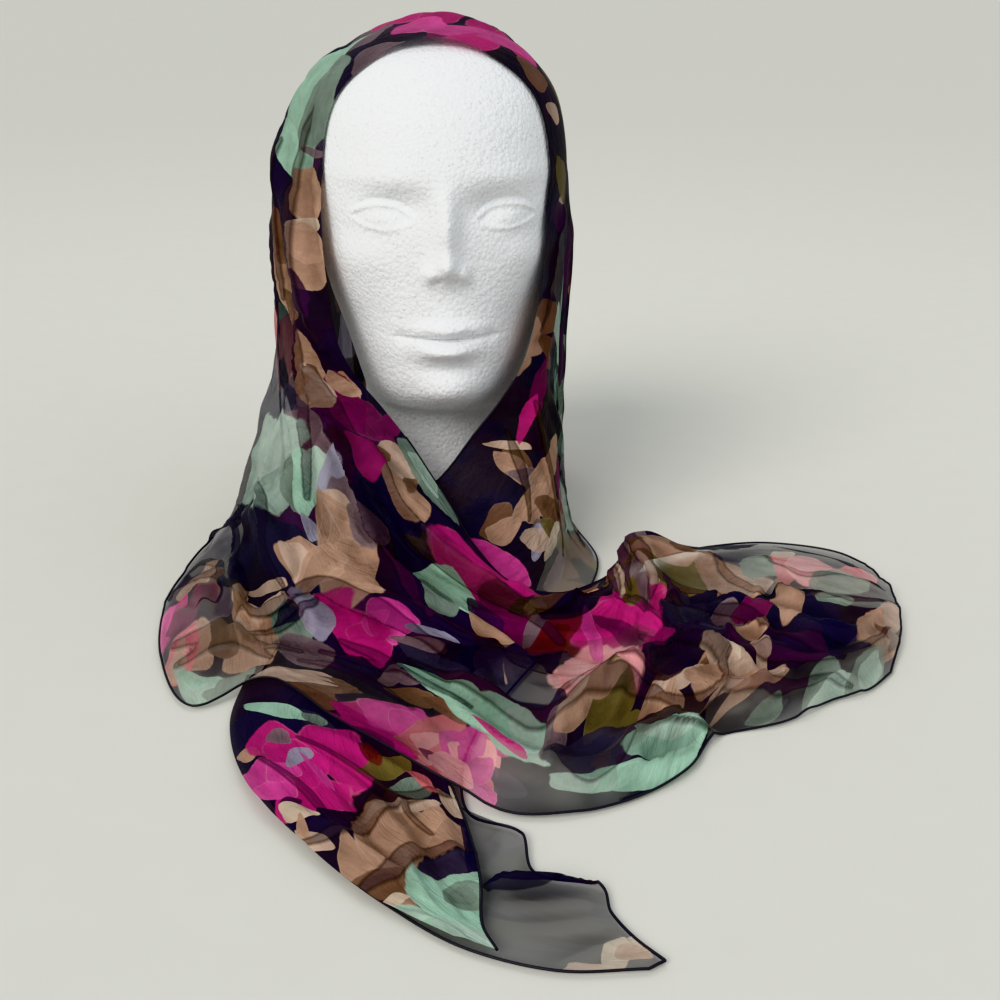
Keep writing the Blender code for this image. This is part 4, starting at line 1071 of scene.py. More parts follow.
# finer folds, with their paths given in the view as the motifs are
wholeFolds = [
    # the hood, beside the face
    (((275, 130), (288, 200), (298, 250), (308, 312), (312, 375)), 5, 4.3, -2),
    (((296, 195), (304, 250), (315, 300), (330, 350)), 5, 5.1, -2),
    (((282, 120), (300, 75), (325, 45)), 7, 2.9, 0),
    (((306, 130), (325, 85), (350, 62)), 5, 2.9, 1),
    (((385, 28), (425, 18), (475, 25), (512, 52)), 5, 2.9, 1),
    (((532, 75), (548, 125), (554, 175), (556, 225)), 4, 4.3, 2),
    (((551, 300), (545, 338), (538, 370)), 4, 4.3, 0),
    (((322, 308), (335, 345), (355, 375)), 5, 4.3, 2),
    (((272, 225), (278, 275), (282, 338)), 4, 2.9, 0),
    (((308, 162), (310, 212), (318, 262)), 3, -2.2, 0),
    # left fall and left of the chest
    (((290, 385), (300, 452), (301, 510), (300, 545)), 4, 4.3, -2),
    (((315, 415), (312, 452), (315, 490), (325, 530)), 4, -2.9, 0),
    (((326, 408), (338, 450), (358, 495), (378, 540), (384, 560)), 5, 6.5, 3),
    (((360, 432), (380, 475), (405, 500), (435, 535)), 5, 5.1, 1),
    (((352, 530), (390, 575), (435, 608), (485, 632), (510, 650)), 6, 5.8, 2),
    (((365, 495), (400, 545), (440, 585), (490, 605)), 7, -4.3, 0),
    (((435, 545), (465, 570), (502, 590), (528, 592)), 5, 4.3, 1),
    (((300, 585), (330, 595), (365, 605), (405, 610)), 5, 4.3, -1),
    (((260, 622), (280, 605), (300, 600), (315, 622)), 4, 4.3, 0),
    (((236, 575), (237, 595), (242, 615), (240, 642)), 4, 5.1, -2),
    (((200, 588), (215, 620), (235, 640)), 4, 4.3, 1),
    (((182, 598), (202, 595), (218, 580)), 4, 3.6, 0),
    (((172, 612), (190, 620), (215, 610)), 4, 4.3, 0),
    (((175, 645), (202, 635), (222, 648), (238, 646)), 4, 4.3, -1),
    (((190, 682), (222, 688), (250, 678), (290, 680)), 4, 2.9, 0),
    (((275, 510), (290, 545), (295, 570)), 5, -2.9, 0),
    (((280, 640), (315, 650), (355, 652), (390, 665)), 5, -3.6, 0),
    (((400, 645), (452, 660), (472, 685), (495, 705)), 6, 5.8, 3),
    (((215, 530), (240, 520), (265, 510)), 5, 3.6, 0),
    (((220, 570), (215, 595), (222, 622)), 4, -2.9, 0),
    (((390, 525), (412, 550), (440, 565)), 4, -2.9, 0),
    (((260, 445), (265, 475), (258, 510)), 5, 2.9, 0),
    # chest to the right
    (((460, 692), (488, 700), (520, 715), (542, 720), (560, 725)), 5, 5.1, 2),
    (((475, 732), (500, 752), (525, 770), (548, 776), (585, 778), (635, 760)), 5, 4.3, -3),
    (((548, 772), (560, 738), (580, 710), (610, 692), (635, 682)), 5, 5.8, 1),
    (((582, 710), (585, 738), (602, 744), (635, 741)), 4, 4.3, 0),
    (((620, 688), (615, 708), (600, 725)), 4, 4.3, 0),
    (((632, 742), (660, 731), (698, 729), (710, 735)), 5, 5.8, 1),
    (((645, 759), (668, 746), (678, 738)), 3, -3.6, 0),
    (((605, 784), (635, 771), (675, 768), (698, 754)), 4, 3.6, 0),
    (((555, 602), (600, 608), (635, 620), (672, 642)), 7, 7.2, -2),
    (((568, 692), (600, 686), (635, 674), (660, 658)), 6, 5.8, 2),
    (((525, 640), (560, 645), (600, 655), (635, 660)), 6, -4.3, 0),
    (((490, 650), (510, 675), (542, 708), (568, 715)), 5, 4.3, 1),
    (((485, 778), (522, 792), (572, 798)), 6, 2.2, 0),
    (((400, 678), (440, 706), (480, 740), (520, 768), (562, 782)), 7, 5, 2),
    # hump and right tail
    (((620, 548), (635, 542), (645, 550), (655, 568)), 4, 3, 0),
    (((635, 575), (650, 588), (675, 605), (710, 602)), 5, 5.8, 1),
    (((668, 598), (672, 618), (700, 636), (735, 642)), 5, 5.8, -2),
    (((700, 558), (735, 575), (772, 588), (798, 600), (835, 605)), 5, 6.5, -2),
    (((710, 602), (748, 610), (785, 622), (835, 640), (870, 650)), 6, 6.5, 0),
    (((742, 568), (752, 562), (782, 562)), 4, 2.9, 0),
    (((785, 625), (810, 635), (848, 638), (882, 610)), 4, 4.3, 0),
    (((765, 650), (798, 660), (835, 668), (870, 655), (892, 640)), 5, 6.5, -2),
    (((675, 652), (700, 651), (735, 658), (755, 675), (760, 700)), 4, 5.8, 0),
    (((695, 688), (720, 691), (760, 690), (785, 675)), 4, 6.5, 1),
    (((712, 715), (735, 708), (760, 690)), 4, 4.3, 0),
    (((725, 641), (740, 635), (761, 632), (765, 652)), 3, 4.3, 0),
    (((805, 712), (822, 690), (840, 682), (860, 688)), 4, 3.6, 0),
    (((680, 718), (720, 720), (760, 712), (780, 700)), 5, -4.3, 0),
    (((735, 675), (772, 660), (810, 655)), 4, -2.9, 0),
    (((822, 575), (850, 582), (875, 588)), 4, 2.9, 0),
    (((760, 582), (762, 605), (770, 625)), 3, 2.9, 0),
    # front
    (((345, 700), (380, 712), (420, 728), (445, 748)), 6, 4.3, 0),
    (((515, 835), (508, 860), (495, 880)), 5, 2.9, 0),
    (((488, 894), (520, 889), (570, 886), (592, 891)), 4, 5.8, -2),
    (((508, 928), (545, 931), (595, 925)), 5, 2.2, 0),
    (((568, 966), (595, 955), (625, 940)), 3, 2.9, 0),
    (((500, 910), (545, 908), (585, 906)), 5, 1.7, 0),
]
foldOverFolds = [
    (((302, 728), (345, 745), (395, 772), (432, 795)), 6, 3, 0),
    (((320, 758), (350, 780), (370, 815), (375, 840)), 5, 2.5, 0),
    (((265, 800), (295, 812), (345, 840), (395, 875)), 6, 3, 1),
    (((250, 755), (270, 772), (285, 800)), 4, 2, 0),
    (((435, 802), (445, 835), (458, 868)), 5, 3, 0),
    (((370, 802), (400, 835), (410, 875), (428, 900)), 6, 3, 1),
    (((340, 790), (360, 815), (380, 855)), 4, -2, 0),
    (((410, 810), (425, 850), (445, 885), (465, 915)), 5, -2, 0),
    (((395, 910), (425, 918), (458, 932)), 4, 1.5, 0),
]

# pleats: path in the view, slope, height, overhang and doubled width in mm
wholePleats = [
    # left fall and the cowl's edge at the left
    (((300, 310), (299, 350), (302, 400), (305, 450), (308, 500)), 8, 3.5, 1, 7),
    (((312, 370), (330, 429), (355, 487), (380, 552), (398, 590), (425, 620)), 10, 6.5, 3, 15),
    (((560, 642), (531, 614), (498, 593), (445, 552), (412, 519), (380, 474), (366, 450)), 8, 6, 2.5, 12),
    (((238, 505), (236, 523), (234, 585), (246, 606)), 6, 2, 0.3, 6),
    (((244, 606), (262, 620), (285, 612), (300, 600), (312, 584)), 5, 4.5, 1.5, 5),
    (((170, 600), (190, 585), (215, 580), (236, 590)), 5, 3.5, 1, 5),
    (((180, 560), (205, 545), (228, 520)), 5, 3, 1, 6),
    (((175, 650), (200, 645), (232, 640), (262, 650), (300, 652)), 6, 4, 1.5, 5),
    (((262, 480), (262, 520), (268, 560), (290, 590)), 5, 3, 1, 5),
    # over the chest to the right
    (((289, 596), (322, 588), (371, 612), (412, 636), (450, 660)), 8, 5.5, 2.5, 7),
    (((412, 664), (455, 688), (500, 713), (545, 733), (572, 714), (590, 700)), 5, 3.5, 1.5, 4),
    (((385, 596), (430, 622), (480, 648), (530, 660), (566, 652)), 8, 4.5, 2, 8),
    (((320, 650), (350, 662), (400, 676), (430, 690)), 6, 3, 1, 5),
    (((548, 722), (580, 705), (620, 696), (655, 700), (672, 712)), 5, 4.5, 2, 5),
    (((632, 742), (610, 766), (580, 770), (556, 766)), 5, 3.5, 1, 6),
    (((636, 742), (660, 730), (690, 728), (712, 735)), 5, 3.5, 1, 0),
    (((592, 700), (606, 685), (622, 676), (648, 672)), 4, 3.5, 1, 3),
    # crumple and right tail
    (((648, 668), (668, 655), (690, 652), (712, 662)), 4, 4, 1.5, 4),
    (((655, 700), (680, 712), (705, 700), (724, 676)), 4, 4.5, 2, 5),
    (((640, 640), (662, 650), (690, 640), (720, 632)), 5, 3.5, 1, 5),
    (((665, 603), (700, 612), (741, 622), (780, 640), (816, 655), (839, 664), (872, 652), (888, 630)),
     6, 4.5, 2, 7),
    (((698, 554), (720, 576), (741, 589), (788, 599), (844, 601), (884, 602)), 5, 3.5, 1.5, 5),
    (((720, 630), (745, 650), (790, 662), (840, 668)), 5, 3, 1, 5),
    (((640, 552), (652, 575), (668, 590), (690, 596), (730, 600)), 5, 4, 1.5, 5),
    (((628, 542), (640, 556), (648, 575), (650, 596)), 4, 2.5, 1.5, 3),
    (((705, 690), (740, 700), (780, 692), (820, 684), (850, 690)), 5, 3, 1, 4),
    (((760, 560), (800, 575), (850, 580), (885, 592)), 4, 2.5, 1, 3),
    # the hood, beside the face
    (((322, 330), (308, 280), (300, 220), (302, 160), (322, 110)), 5, 3.5, 1.5, 5),
    (((286, 300), (280, 240), (279, 190), (284, 140)), 4, 3, 1, 4),
    (((548, 110), (558, 160), (558, 220), (550, 280), (540, 330)), 4, 3, 1, 4),
    # right fall
    (((534, 400), (541, 440), (550, 480), (556, 520), (562, 556)), 5, 3.5, 1.5, 5),
    (((505, 430), (520, 470), (530, 520)), 5, 3, 1, 4),
    (((560, 470), (572, 510), (584, 548)), 4, 3, 1, 3),
    # front
    (((598, 886), (560, 882), (520, 884), (486, 893)), 5, 4, 1.5, 10),
    # the cowl's rolled rim and the hump beside it
    (((505, 598), (530, 608), (560, 608), (590, 600), (612, 586)), 5, 5.5, 2.5, 9),
    (((611, 562), (617, 551), (625, 557), (629, 572), (634, 591)), 3, 2.5, 1.5, 4),
    (((608, 570), (613, 577), (618, 590), (622, 604)), 3, 3, 1, 4),
    (((640, 546), (646, 562), (650, 580), (650, 600)), 4, 4, 1.5, 4),
    (((665, 593), (668, 612), (675, 632), (694, 641), (725, 644)), 5, 5, 2, 6),
    (((617, 603), (651, 620), (670, 637), (656, 649), (651, 672)), 4, 4.5, 1.5, 6),
    (((560, 699), (598, 682), (632, 675), (660, 677)), 4, 4, 1.5, 4),
    (((653, 662), (672, 650), (700, 648), (726, 658)), 4, 4.5, 2, 5),
    (((700, 652), (716, 664), (722, 684), (712, 700)), 4, 3.5, 1.5, 4),
    # the left spread's swirl
    (((172, 602), (196, 572), (222, 570), (226, 590), (204, 612)), 4, 3.5, 1.5, 4),
    (((236, 560), (244, 592), (236, 620), (214, 640)), 4, 3.5, 1.5, 5),
    (((176, 668), (204, 654), (240, 650), (272, 660)), 4, 3.5, 1.5, 5),
    (((250, 640), (280, 632), (306, 612), (322, 596)), 4, 3, 1, 4),
    # long lines over the chest
    (((340, 640), (380, 658), (420, 690), (470, 712)), 5, 3.5, 1.5, 4),
    (((300, 664), (340, 672), (384, 694), (412, 716)), 4, 3, 1, 4),
]
foldOverPleats = [
    (((300, 740), (340, 762), (390, 800), (430, 836)), 6, 3, 1, 5),
    (((300, 850), (350, 838), (400, 806), (448, 796)), 5, 3, 1, 6),
    (((352, 912), (392, 880), (440, 856), (492, 852)), 6, 3.5, 1, 7),
    (((262, 760), (300, 790), (336, 830)), 5, 2.5, 1, 4),
]

# patches of doubled cloth on the flat oblong, corners as (section, share)
doubledPatches = [
    ((0.8, 0.12), (5.6, -0.1), (17.0, -0.1), (17.0, 0.28), (15.3, 0.24), (14.4, 0.34), (14.0, 0.5),
     (14.1, 0.62), (13.9, 0.74), (13.2, 0.81), (12.5, 0.82), (11.5, 0.80), (10.6, 0.80), (9.8, 0.83),
     (9.0, 0.885), (8.2, 0.915), (7.2, 0.925), (6.4, 0.90), (5.6, 0.88), (3.0, 0.90), (0.8, 0.85)),
    ((16.9, -0.1), (27.4, -0.1), (27.4, 0.30), (26.4, 0.62), (24.6, 0.84), (22.2, 0.78), (19.6, 0.86),
     (18.1, 0.72), (17.5, 0.50), (16.9, 0.30)),
    ((27.3, -0.1), (33.5, -0.1), (33.5, 0.9), (31.5, 0.85), (30.6, 0.62), (29.5, 0.42), (28.5, 0.28),
     (27.3, 0.22)),
    ((6.5, 0.93), (5.3, 0.90), (4.2, 0.93), (4.4, 1.1), (6.2, 1.1)),
]

# patches where a single layer shows, corners in the view
sheerPatches = [
    ((262, 312), (298, 312), (300, 350), (302, 400), (304, 440), (296, 460), (250, 500), (240, 480),
     (262, 420), (262, 360)),
    ((176, 560), (200, 530), (236, 506), (236, 560), (228, 600), (200, 640), (175, 660), (160, 620)),
    ((250, 690), (300, 688), (350, 712), (400, 742), (440, 770), (470, 790), (500, 806), (540, 812),
     (600, 805), (640, 790), (600, 785), (560, 790), (520, 776), (480, 748), (440, 714), (400, 690),
     (340, 680), (280, 672)),
    ((655, 560), (700, 552), (760, 546), (830, 558), (885, 588), (895, 612), (850, 606), (800, 602),
     (760, 598), (700, 592), (660, 588), (640, 578)),
    ((730, 690), (790, 672), (850, 672), (890, 640), (880, 690), (800, 712), (740, 730), (715, 735)),
    ((566, 640), (640, 628), (660, 640), (640, 665), (600, 690), (570, 696), (556, 670)),
    ((500, 650), (540, 664), (560, 690), (548, 720), (520, 712), (480, 690), (440, 668)),
]


# printed motifs: dye, heel and tip (x, y, x, y) and width in the view's marks; each lies over those before it
wholeMotifs = [
    ("navy", 268, 225, 280, 105, 28), ("navy", 278, 120, 332, 30, 22),
    ("purpleBlack", 265, 215, 278, 250, 22), ("purpleBlack", 515, 65, 562, 155, 32),
    ("navy", 548, 205, 565, 250, 22), ("purpleBlack", 545, 160, 568, 200, 28),
    ("purpleBlack", 545, 250, 562, 295, 22), ("plum", 302, 160, 330, 120, 28),
    ("plum", 385, 35, 420, 22, 20), ("plum", 548, 200, 565, 225, 18),
    ("purpleBlack", 360, 420, 380, 475, 40), ("navy", 355, 470, 435, 595, 52),
    ("navy", 435, 510, 475, 560, 38), ("plum", 315, 385, 365, 435, 38), ("slate", 270, 370, 280, 432, 25),
    ("slate", 300, 542, 325, 518, 28), ("plum", 250, 542, 300, 510, 38), ("navy", 235, 555, 300, 585, 55),
    ("purpleBlack", 248, 510, 280, 540, 28), ("slate", 408, 540, 430, 545, 18),
    ("plum", 490, 595, 525, 618, 22), ("slate", 195, 560, 245, 525, 32), ("plum", 172, 602, 202, 585, 22),
    ("navy", 190, 620, 222, 608, 22), ("plum", 200, 595, 235, 620, 28), ("navy", 460, 520, 515, 508, 30),
    ("purpleBlack", 555, 540, 590, 558, 30), ("purpleBlack", 520, 560, 600, 600, 50),
    ("navy", 515, 660, 568, 715, 30), ("navy", 505, 620, 520, 690, 28), ("navy", 642, 725, 678, 718, 18),
    ("purpleBlack", 655, 665, 675, 718, 30), ("slate", 668, 610, 705, 590, 38),
    ("slate", 672, 625, 705, 620, 30), ("navy", 705, 600, 742, 610, 30), ("navy", 758, 625, 835, 618, 38),
    ("navy", 765, 650, 850, 660, 32), ("navy", 810, 640, 870, 655, 22), ("plum", 780, 665, 835, 680, 28),
    ("purpleBlack", 830, 670, 865, 680, 22), ("slate", 742, 720, 785, 692, 22),
    ("navy", 675, 718, 720, 715, 22), ("plum", 310, 708, 350, 718, 22), ("slate", 490, 860, 520, 835, 22),
    ("purpleBlack", 306, 672, 400, 706, 34), ("navy", 300, 642, 372, 668, 24),
    ("purpleBlack", 352, 672, 398, 724, 20), ("navy", 470, 520, 486, 548, 22),
    ("navy", 424, 508, 482, 540, 30), ("purpleBlack", 352, 560, 420, 610, 26),
    ("navy", 396, 590, 470, 650, 24), ("navy", 322, 560, 296, 640, 20),
    ("purpleBlack", 246, 560, 300, 600, 44), ("navy", 240, 512, 292, 560, 44),
    ("plum", 250, 500, 330, 520, 26), ("purpleBlack", 480, 640, 560, 700, 20),
    ("navy", 500, 650, 560, 720, 18), ("purpleBlack", 540, 600, 570, 640, 28),
    ("navy", 652, 640, 700, 700, 34), ("purpleBlack", 672, 700, 720, 720, 26),
    ("purpleBlack", 656, 712, 700, 716, 22), ("navy", 700, 640, 800, 690, 30),
    ("purpleBlack", 744, 660, 830, 700, 30), ("navy", 740, 610, 830, 640, 26),
    ("slate", 670, 600, 700, 630, 30), ("slate", 690, 632, 740, 640, 24), ("navy", 315, 45, 400, 10, 15),
    ("slate", 315, 118, 332, 150, 15), ("taupe", 338, 62, 390, 25, 32), ("taupe", 360, 68, 395, 48, 22),
    ("magenta", 382, 25, 425, 7, 25), ("magenta", 410, 8, 485, 18, 22), ("magenta", 475, 22, 528, 60, 28),
    ("magenta", 490, 38, 522, 65, 25), ("darkMagenta", 430, 38, 480, 38, 20),
    ("hotPink", 398, 35, 440, 21, 19), ("hotPink", 425, 28, 485, 35, 15), ("magenta", 440, 38, 490, 45, 15),
    ("hotPink", 482, 38, 522, 62, 15), ("mint", 292, 175, 348, 30, 44, "leaf"),
    ("greyMint", 304, 140, 345, 92, 34), ("mint", 282, 122, 298, 182, 20, "leaf"),
    ("greyMint", 332, 65, 358, 75, 18), ("taupe", 304, 148, 330, 155, 8), ("tan", 299, 190, 320, 190, 42),
    ("tan", 300, 175, 316, 222, 24), ("cream", 301, 225, 321, 225, 12), ("tan", 304, 250, 325, 285, 25),
    ("tan", 301, 230, 322, 252, 22), ("brown", 274, 205, 290, 240, 18), ("tan", 278, 248, 300, 322, 19),
    ("brown", 282, 240, 288, 262, 15), ("brown", 288, 295, 300, 325, 15), ("tan", 302, 338, 322, 402, 21),
    ("tan", 341, 372, 358, 398, 14), ("darkMagenta", 335, 375, 360, 422, 28),
    ("olive", 530, 78, 550, 110, 18), ("brown", 515, 70, 530, 100, 15), ("olive", 548, 118, 562, 158, 16),
    ("beige", 532, 112, 542, 122, 8), ("beige", 548, 199, 562, 199, 7), ("olive", 548, 162, 562, 195, 10),
    ("brown", 548, 300, 538, 330, 20), ("tan", 538, 322, 525, 355, 18), ("tan", 515, 375, 525, 355, 12),
    ("brown", 540, 338, 552, 370, 12), ("darkMagenta", 532, 418, 545, 362, 14),
    ("plum", 305, 272, 315, 315, 15), ("darkMagenta", 340, 392, 380, 435, 28),
    ("taupe", 288, 380, 312, 450, 26), ("slate", 288, 385, 295, 410, 10), ("beige", 304, 370, 322, 408, 22),
    ("tan", 302, 375, 324, 408, 18), ("tan", 330, 372, 358, 395, 15), ("paleMint", 250, 505, 268, 425, 38),
    ("paleMint", 270, 512, 288, 415, 40), ("greyMint", 300, 510, 295, 452, 30),
    ("mint", 305, 510, 310, 450, 28), ("paleMint", 312, 488, 322, 450, 32),
    ("lilacGrey", 325, 510, 340, 458, 30), ("taupe", 332, 480, 355, 525, 30),
    ("beige", 319, 495, 355, 530, 30), ("lilacGrey", 305, 520, 315, 542, 12),
    ("tan", 322, 510, 362, 600, 48, "leaf"), ("taupe", 350, 510, 380, 550, 30),
    ("tan", 340, 545, 365, 595, 38), ("tan", 279, 545, 342, 570, 32), ("beige", 280, 542, 315, 578, 22),
    ("tan", 302, 588, 338, 545, 28), ("magenta", 351, 440, 380, 478, 20),
    ("darkMagenta", 372, 438, 400, 422, 19), ("beige", 380, 448, 418, 475, 35),
    ("brown", 372, 448, 388, 460, 12), ("greyMint", 405, 438, 452, 510, 28),
    ("paleMint", 410, 452, 435, 490, 15), ("tan", 386, 478, 425, 522, 26),
    ("brown", 402, 480, 415, 490, 15), ("magenta", 435, 545, 530, 592, 45),
    ("magenta", 435, 548, 482, 570, 32), ("hotPink", 478, 542, 530, 588, 25),
    ("darkMagenta", 490, 595, 538, 642, 42), ("mint", 412, 575, 485, 628, 35, "leaf"),
    ("greyMint", 418, 585, 448, 620, 22), ("redBrown", 525, 660, 562, 615, 42),
    ("taupe", 525, 642, 540, 610, 18), ("beige", 508, 682, 509, 658, 10),
    ("magenta", 320, 600, 365, 635, 42), ("magenta", 365, 655, 380, 620, 42),
    ("magenta", 350, 635, 392, 655, 35), ("hotPink", 375, 610, 412, 632, 32),
    ("hotPink", 365, 625, 390, 620, 22), ("magenta", 370, 620, 390, 635, 18),
    ("brown", 200, 590, 232, 580, 15), ("tan", 182, 598, 218, 575, 20), ("magenta", 162, 650, 175, 608, 24),
    ("hotPink", 161, 648, 170, 610, 11), ("darkMagenta", 168, 635, 215, 592, 20),
    ("brown", 205, 632, 238, 648, 22), ("beige", 235, 595, 248, 608, 15), ("beige", 250, 599, 288, 584, 11),
    ("beige", 238, 610, 260, 635, 25), ("tan", 270, 625, 240, 672, 38), ("tan", 238, 610, 258, 632, 22),
    ("greyMint", 275, 610, 310, 632, 30), ("beige", 258, 625, 292, 596, 11),
    ("beige", 290, 598, 315, 628, 10), ("slate", 278, 625, 305, 610, 15),
    ("lilacGrey", 300, 592, 325, 635, 28), ("taupe", 280, 640, 330, 660, 28),
    ("tan", 185, 665, 212, 632, 29), ("coral", 165, 672, 200, 642, 28), ("tan", 165, 675, 185, 658, 20),
    ("brown", 212, 655, 238, 650, 15), ("paleMint", 172, 680, 215, 702, 24),
    ("mint", 178, 680, 215, 690, 15), ("greyMint", 215, 692, 250, 680, 18),
    ("paleMint", 190, 705, 250, 695, 10), ("beige", 248, 680, 338, 682, 12),
    ("brown", 265, 688, 355, 698, 18), ("brown", 300, 702, 335, 720, 22), ("brown", 485, 538, 510, 508, 22),
    ("tan", 488, 535, 518, 525, 22), ("tan", 525, 515, 542, 500, 22), ("taupe", 528, 542, 545, 528, 18),
    ("lilacGrey", 535, 558, 548, 528, 15), ("brown", 545, 538, 560, 510, 15),
    ("olive", 568, 540, 595, 570, 20), ("taupe", 560, 550, 570, 572, 10), ("tan", 545, 582, 570, 592, 12),
    ("brown", 542, 585, 600, 592, 12), ("tan", 555, 515, 542, 475, 18),
    ("darkMagenta", 555, 470, 560, 495, 15), ("magenta", 582, 640, 645, 608, 42),
    ("magenta", 600, 608, 635, 630, 32), ("redBrown", 522, 655, 568, 612, 40),
    ("purpleBlack", 542, 660, 565, 650, 12), ("taupe", 535, 610, 548, 642, 15),
    ("olive", 555, 665, 572, 690, 15), ("brown", 608, 570, 620, 542, 22), ("taupe", 610, 560, 635, 538, 15),
    ("purpleBlack", 608, 565, 625, 558, 8), ("taupe", 625, 558, 645, 532, 18),
    ("brown", 622, 545, 632, 572, 15), ("olive", 635, 570, 650, 540, 22), ("tan", 648, 538, 700, 565, 22),
    ("brown", 672, 545, 712, 562, 15), ("olive", 645, 575, 688, 565, 30), ("olive", 635, 575, 660, 605, 22),
    ("taupe", 708, 630, 740, 625, 28), ("tan", 700, 560, 735, 588, 28), ("tan", 728, 582, 762, 598, 22),
    ("brown", 705, 575, 725, 585, 10), ("tan", 792, 582, 788, 625, 28), ("tan", 775, 582, 792, 600, 12),
    ("slate", 712, 560, 748, 562, 15), ("greyMint", 745, 575, 782, 560, 22),
    ("coral", 782, 580, 802, 551, 31), ("salmon", 798, 558, 830, 575, 25),
    ("coral", 832, 575, 870, 569, 16), ("beige", 772, 556, 790, 552, 8),
    ("greyMint", 808, 585, 860, 582, 22), ("beige", 805, 600, 838, 593, 6),
    ("greyMint", 815, 602, 850, 602, 10), ("darkMagenta", 732, 622, 764, 612, 24),
    ("slate", 840, 660, 870, 640, 15), ("tan", 860, 640, 892, 612, 30), ("tan", 872, 660, 895, 640, 25),
    ("brown", 880, 625, 895, 650, 10), ("greyMint", 805, 712, 835, 680, 30),
    ("paleMint", 810, 710, 850, 685, 22), ("greyMint", 850, 698, 882, 665, 32),
    ("paleMint", 860, 690, 875, 662, 20), ("tan", 690, 685, 725, 662, 32),
    ("brown", 695, 675, 712, 665, 10), ("beige", 702, 652, 758, 675, 15), ("cream", 708, 652, 738, 662, 6),
    ("tan", 732, 640, 764, 631, 15), ("beige", 752, 640, 764, 655, 12), ("beige", 758, 650, 764, 678, 10),
    ("purpleBlack", 725, 690, 750, 708, 15), ("tan", 712, 715, 785, 672, 14),
    ("beige", 735, 680, 782, 675, 9), ("greyMint", 748, 720, 780, 700, 18),
    ("plum", 725, 640, 740, 650, 10), ("beige", 252, 681, 332, 685, 11), ("brown", 280, 692, 360, 698, 15),
    ("magenta", 342, 720, 392, 748, 35), ("hotPink", 380, 742, 428, 730, 28),
    ("magenta", 360, 720, 400, 730, 15), ("hotPink", 395, 748, 425, 742, 18),
    ("coral", 400, 765, 445, 748, 38), ("salmon", 418, 772, 452, 760, 28),
    ("coral", 432, 780, 480, 800, 28), ("hotPink", 440, 745, 472, 765, 28),
    ("salmon", 445, 742, 470, 760, 15), ("salmon", 462, 775, 495, 772, 28),
    ("coral", 470, 810, 492, 780, 22), ("salmon", 460, 800, 485, 785, 22),
    ("coral", 452, 785, 468, 780, 15), ("darkMagenta", 328, 728, 400, 765, 12),
    ("magenta", 330, 732, 410, 772, 6), ("slate", 470, 765, 520, 800, 15),
    ("beige", 565, 971, 610, 969, 10), ("cream", 605, 971, 630, 938, 22), ("tan", 620, 960, 645, 952, 15),
    ("navy", 485, 895, 552, 885, 15), ("navy", 545, 885, 575, 895, 12), ("navy", 592, 892, 602, 920, 10),
    ("magenta", 476, 736, 512, 764, 14), ("beige", 238, 690, 332, 690, 9), ("brown", 262, 702, 350, 700, 9),
    ("greyMint", 205, 700, 250, 690, 10), ("magenta", 338, 722, 398, 744, 34),
    ("hotPink", 362, 716, 420, 736, 30), ("magenta", 376, 740, 422, 752, 22),
    ("hotPink", 392, 722, 424, 744, 20), ("darkMagenta", 348, 742, 392, 758, 12),
    ("coral", 400, 748, 462, 752, 42), ("salmon", 412, 744, 452, 770, 26),
    ("coral", 430, 760, 486, 764, 30), ("hotPink", 440, 738, 472, 762, 24),
    ("salmon", 452, 752, 494, 768, 24), ("hotPink", 458, 742, 486, 756, 15),
    ("coral", 462, 776, 492, 802, 22), ("hotPink", 470, 782, 494, 806, 10),
    ("darkMagenta", 420, 756, 444, 772, 6), ("brown", 505, 440, 530, 470, 16),
    ("tan", 498, 452, 528, 480, 18), ("beige", 484, 444, 528, 446, 8), ("taupe", 520, 470, 548, 500, 22),
    ("tan", 515, 520, 548, 492, 24), ("brown", 540, 500, 566, 530, 18), ("tan", 536, 480, 560, 440, 16),
    ("beige", 524, 536, 556, 540, 22), ("olive", 545, 520, 575, 560, 14),
    ("magenta", 520, 440, 534, 398, 12), ("brown", 560, 555, 590, 565, 14), ("tan", 705, 575, 745, 605, 30),
    ("beige", 655, 690, 700, 672, 14), ("tan", 690, 690, 740, 672, 14), ("beige", 704, 650, 726, 680, 14),
    ("brown", 700, 670, 722, 690, 16), ("beige", 238, 690, 332, 690, 9), ("brown", 262, 702, 350, 700, 9),
    ("redBrown", 540, 612, 580, 650, 20), ("beige", 530, 640, 548, 606, 8), ("tan", 686, 668, 730, 690, 24),
    ("beige", 700, 652, 742, 672, 9), ("beige", 738, 652, 742, 690, 5), ("tan", 690, 706, 756, 674, 9),
    ("beige", 700, 700, 740, 688, 6), ("tan", 700, 566, 752, 600, 20), ("slate", 402, 648, 468, 684, 14),
    ("taupe", 396, 640, 444, 656, 8), ("lilacGrey", 412, 630, 456, 646, 10),
    ("tan", 470, 627, 508, 652, 13), ("taupe", 505, 662, 513, 684, 8), ("taupe", 378, 682, 402, 676, 14),
    ("taupe", 396, 682, 425, 690, 10), ("brown", 388, 692, 432, 708, 12), ("brown", 425, 704, 466, 730, 11),
    ("mint", 406, 674, 460, 708, 20), ("mint", 438, 690, 500, 738, 30), ("mint", 480, 714, 552, 764, 42),
    ("paleMint", 512, 722, 550, 774, 30), ("magenta", 474, 730, 522, 768, 11),
    ("magenta", 566, 632, 668, 636, 56), ("darkMagenta", 606, 626, 664, 660, 16),
    ("salmon", 572, 690, 626, 656, 40), ("salmon", 590, 660, 634, 680, 30),
    ("hotPink", 584, 612, 600, 650, 12), ("magenta", 632, 662, 666, 644, 16),
    ("olive", 590, 735, 628, 686, 36), ("olive", 604, 742, 642, 724, 20), ("taupe", 544, 778, 562, 726, 18),
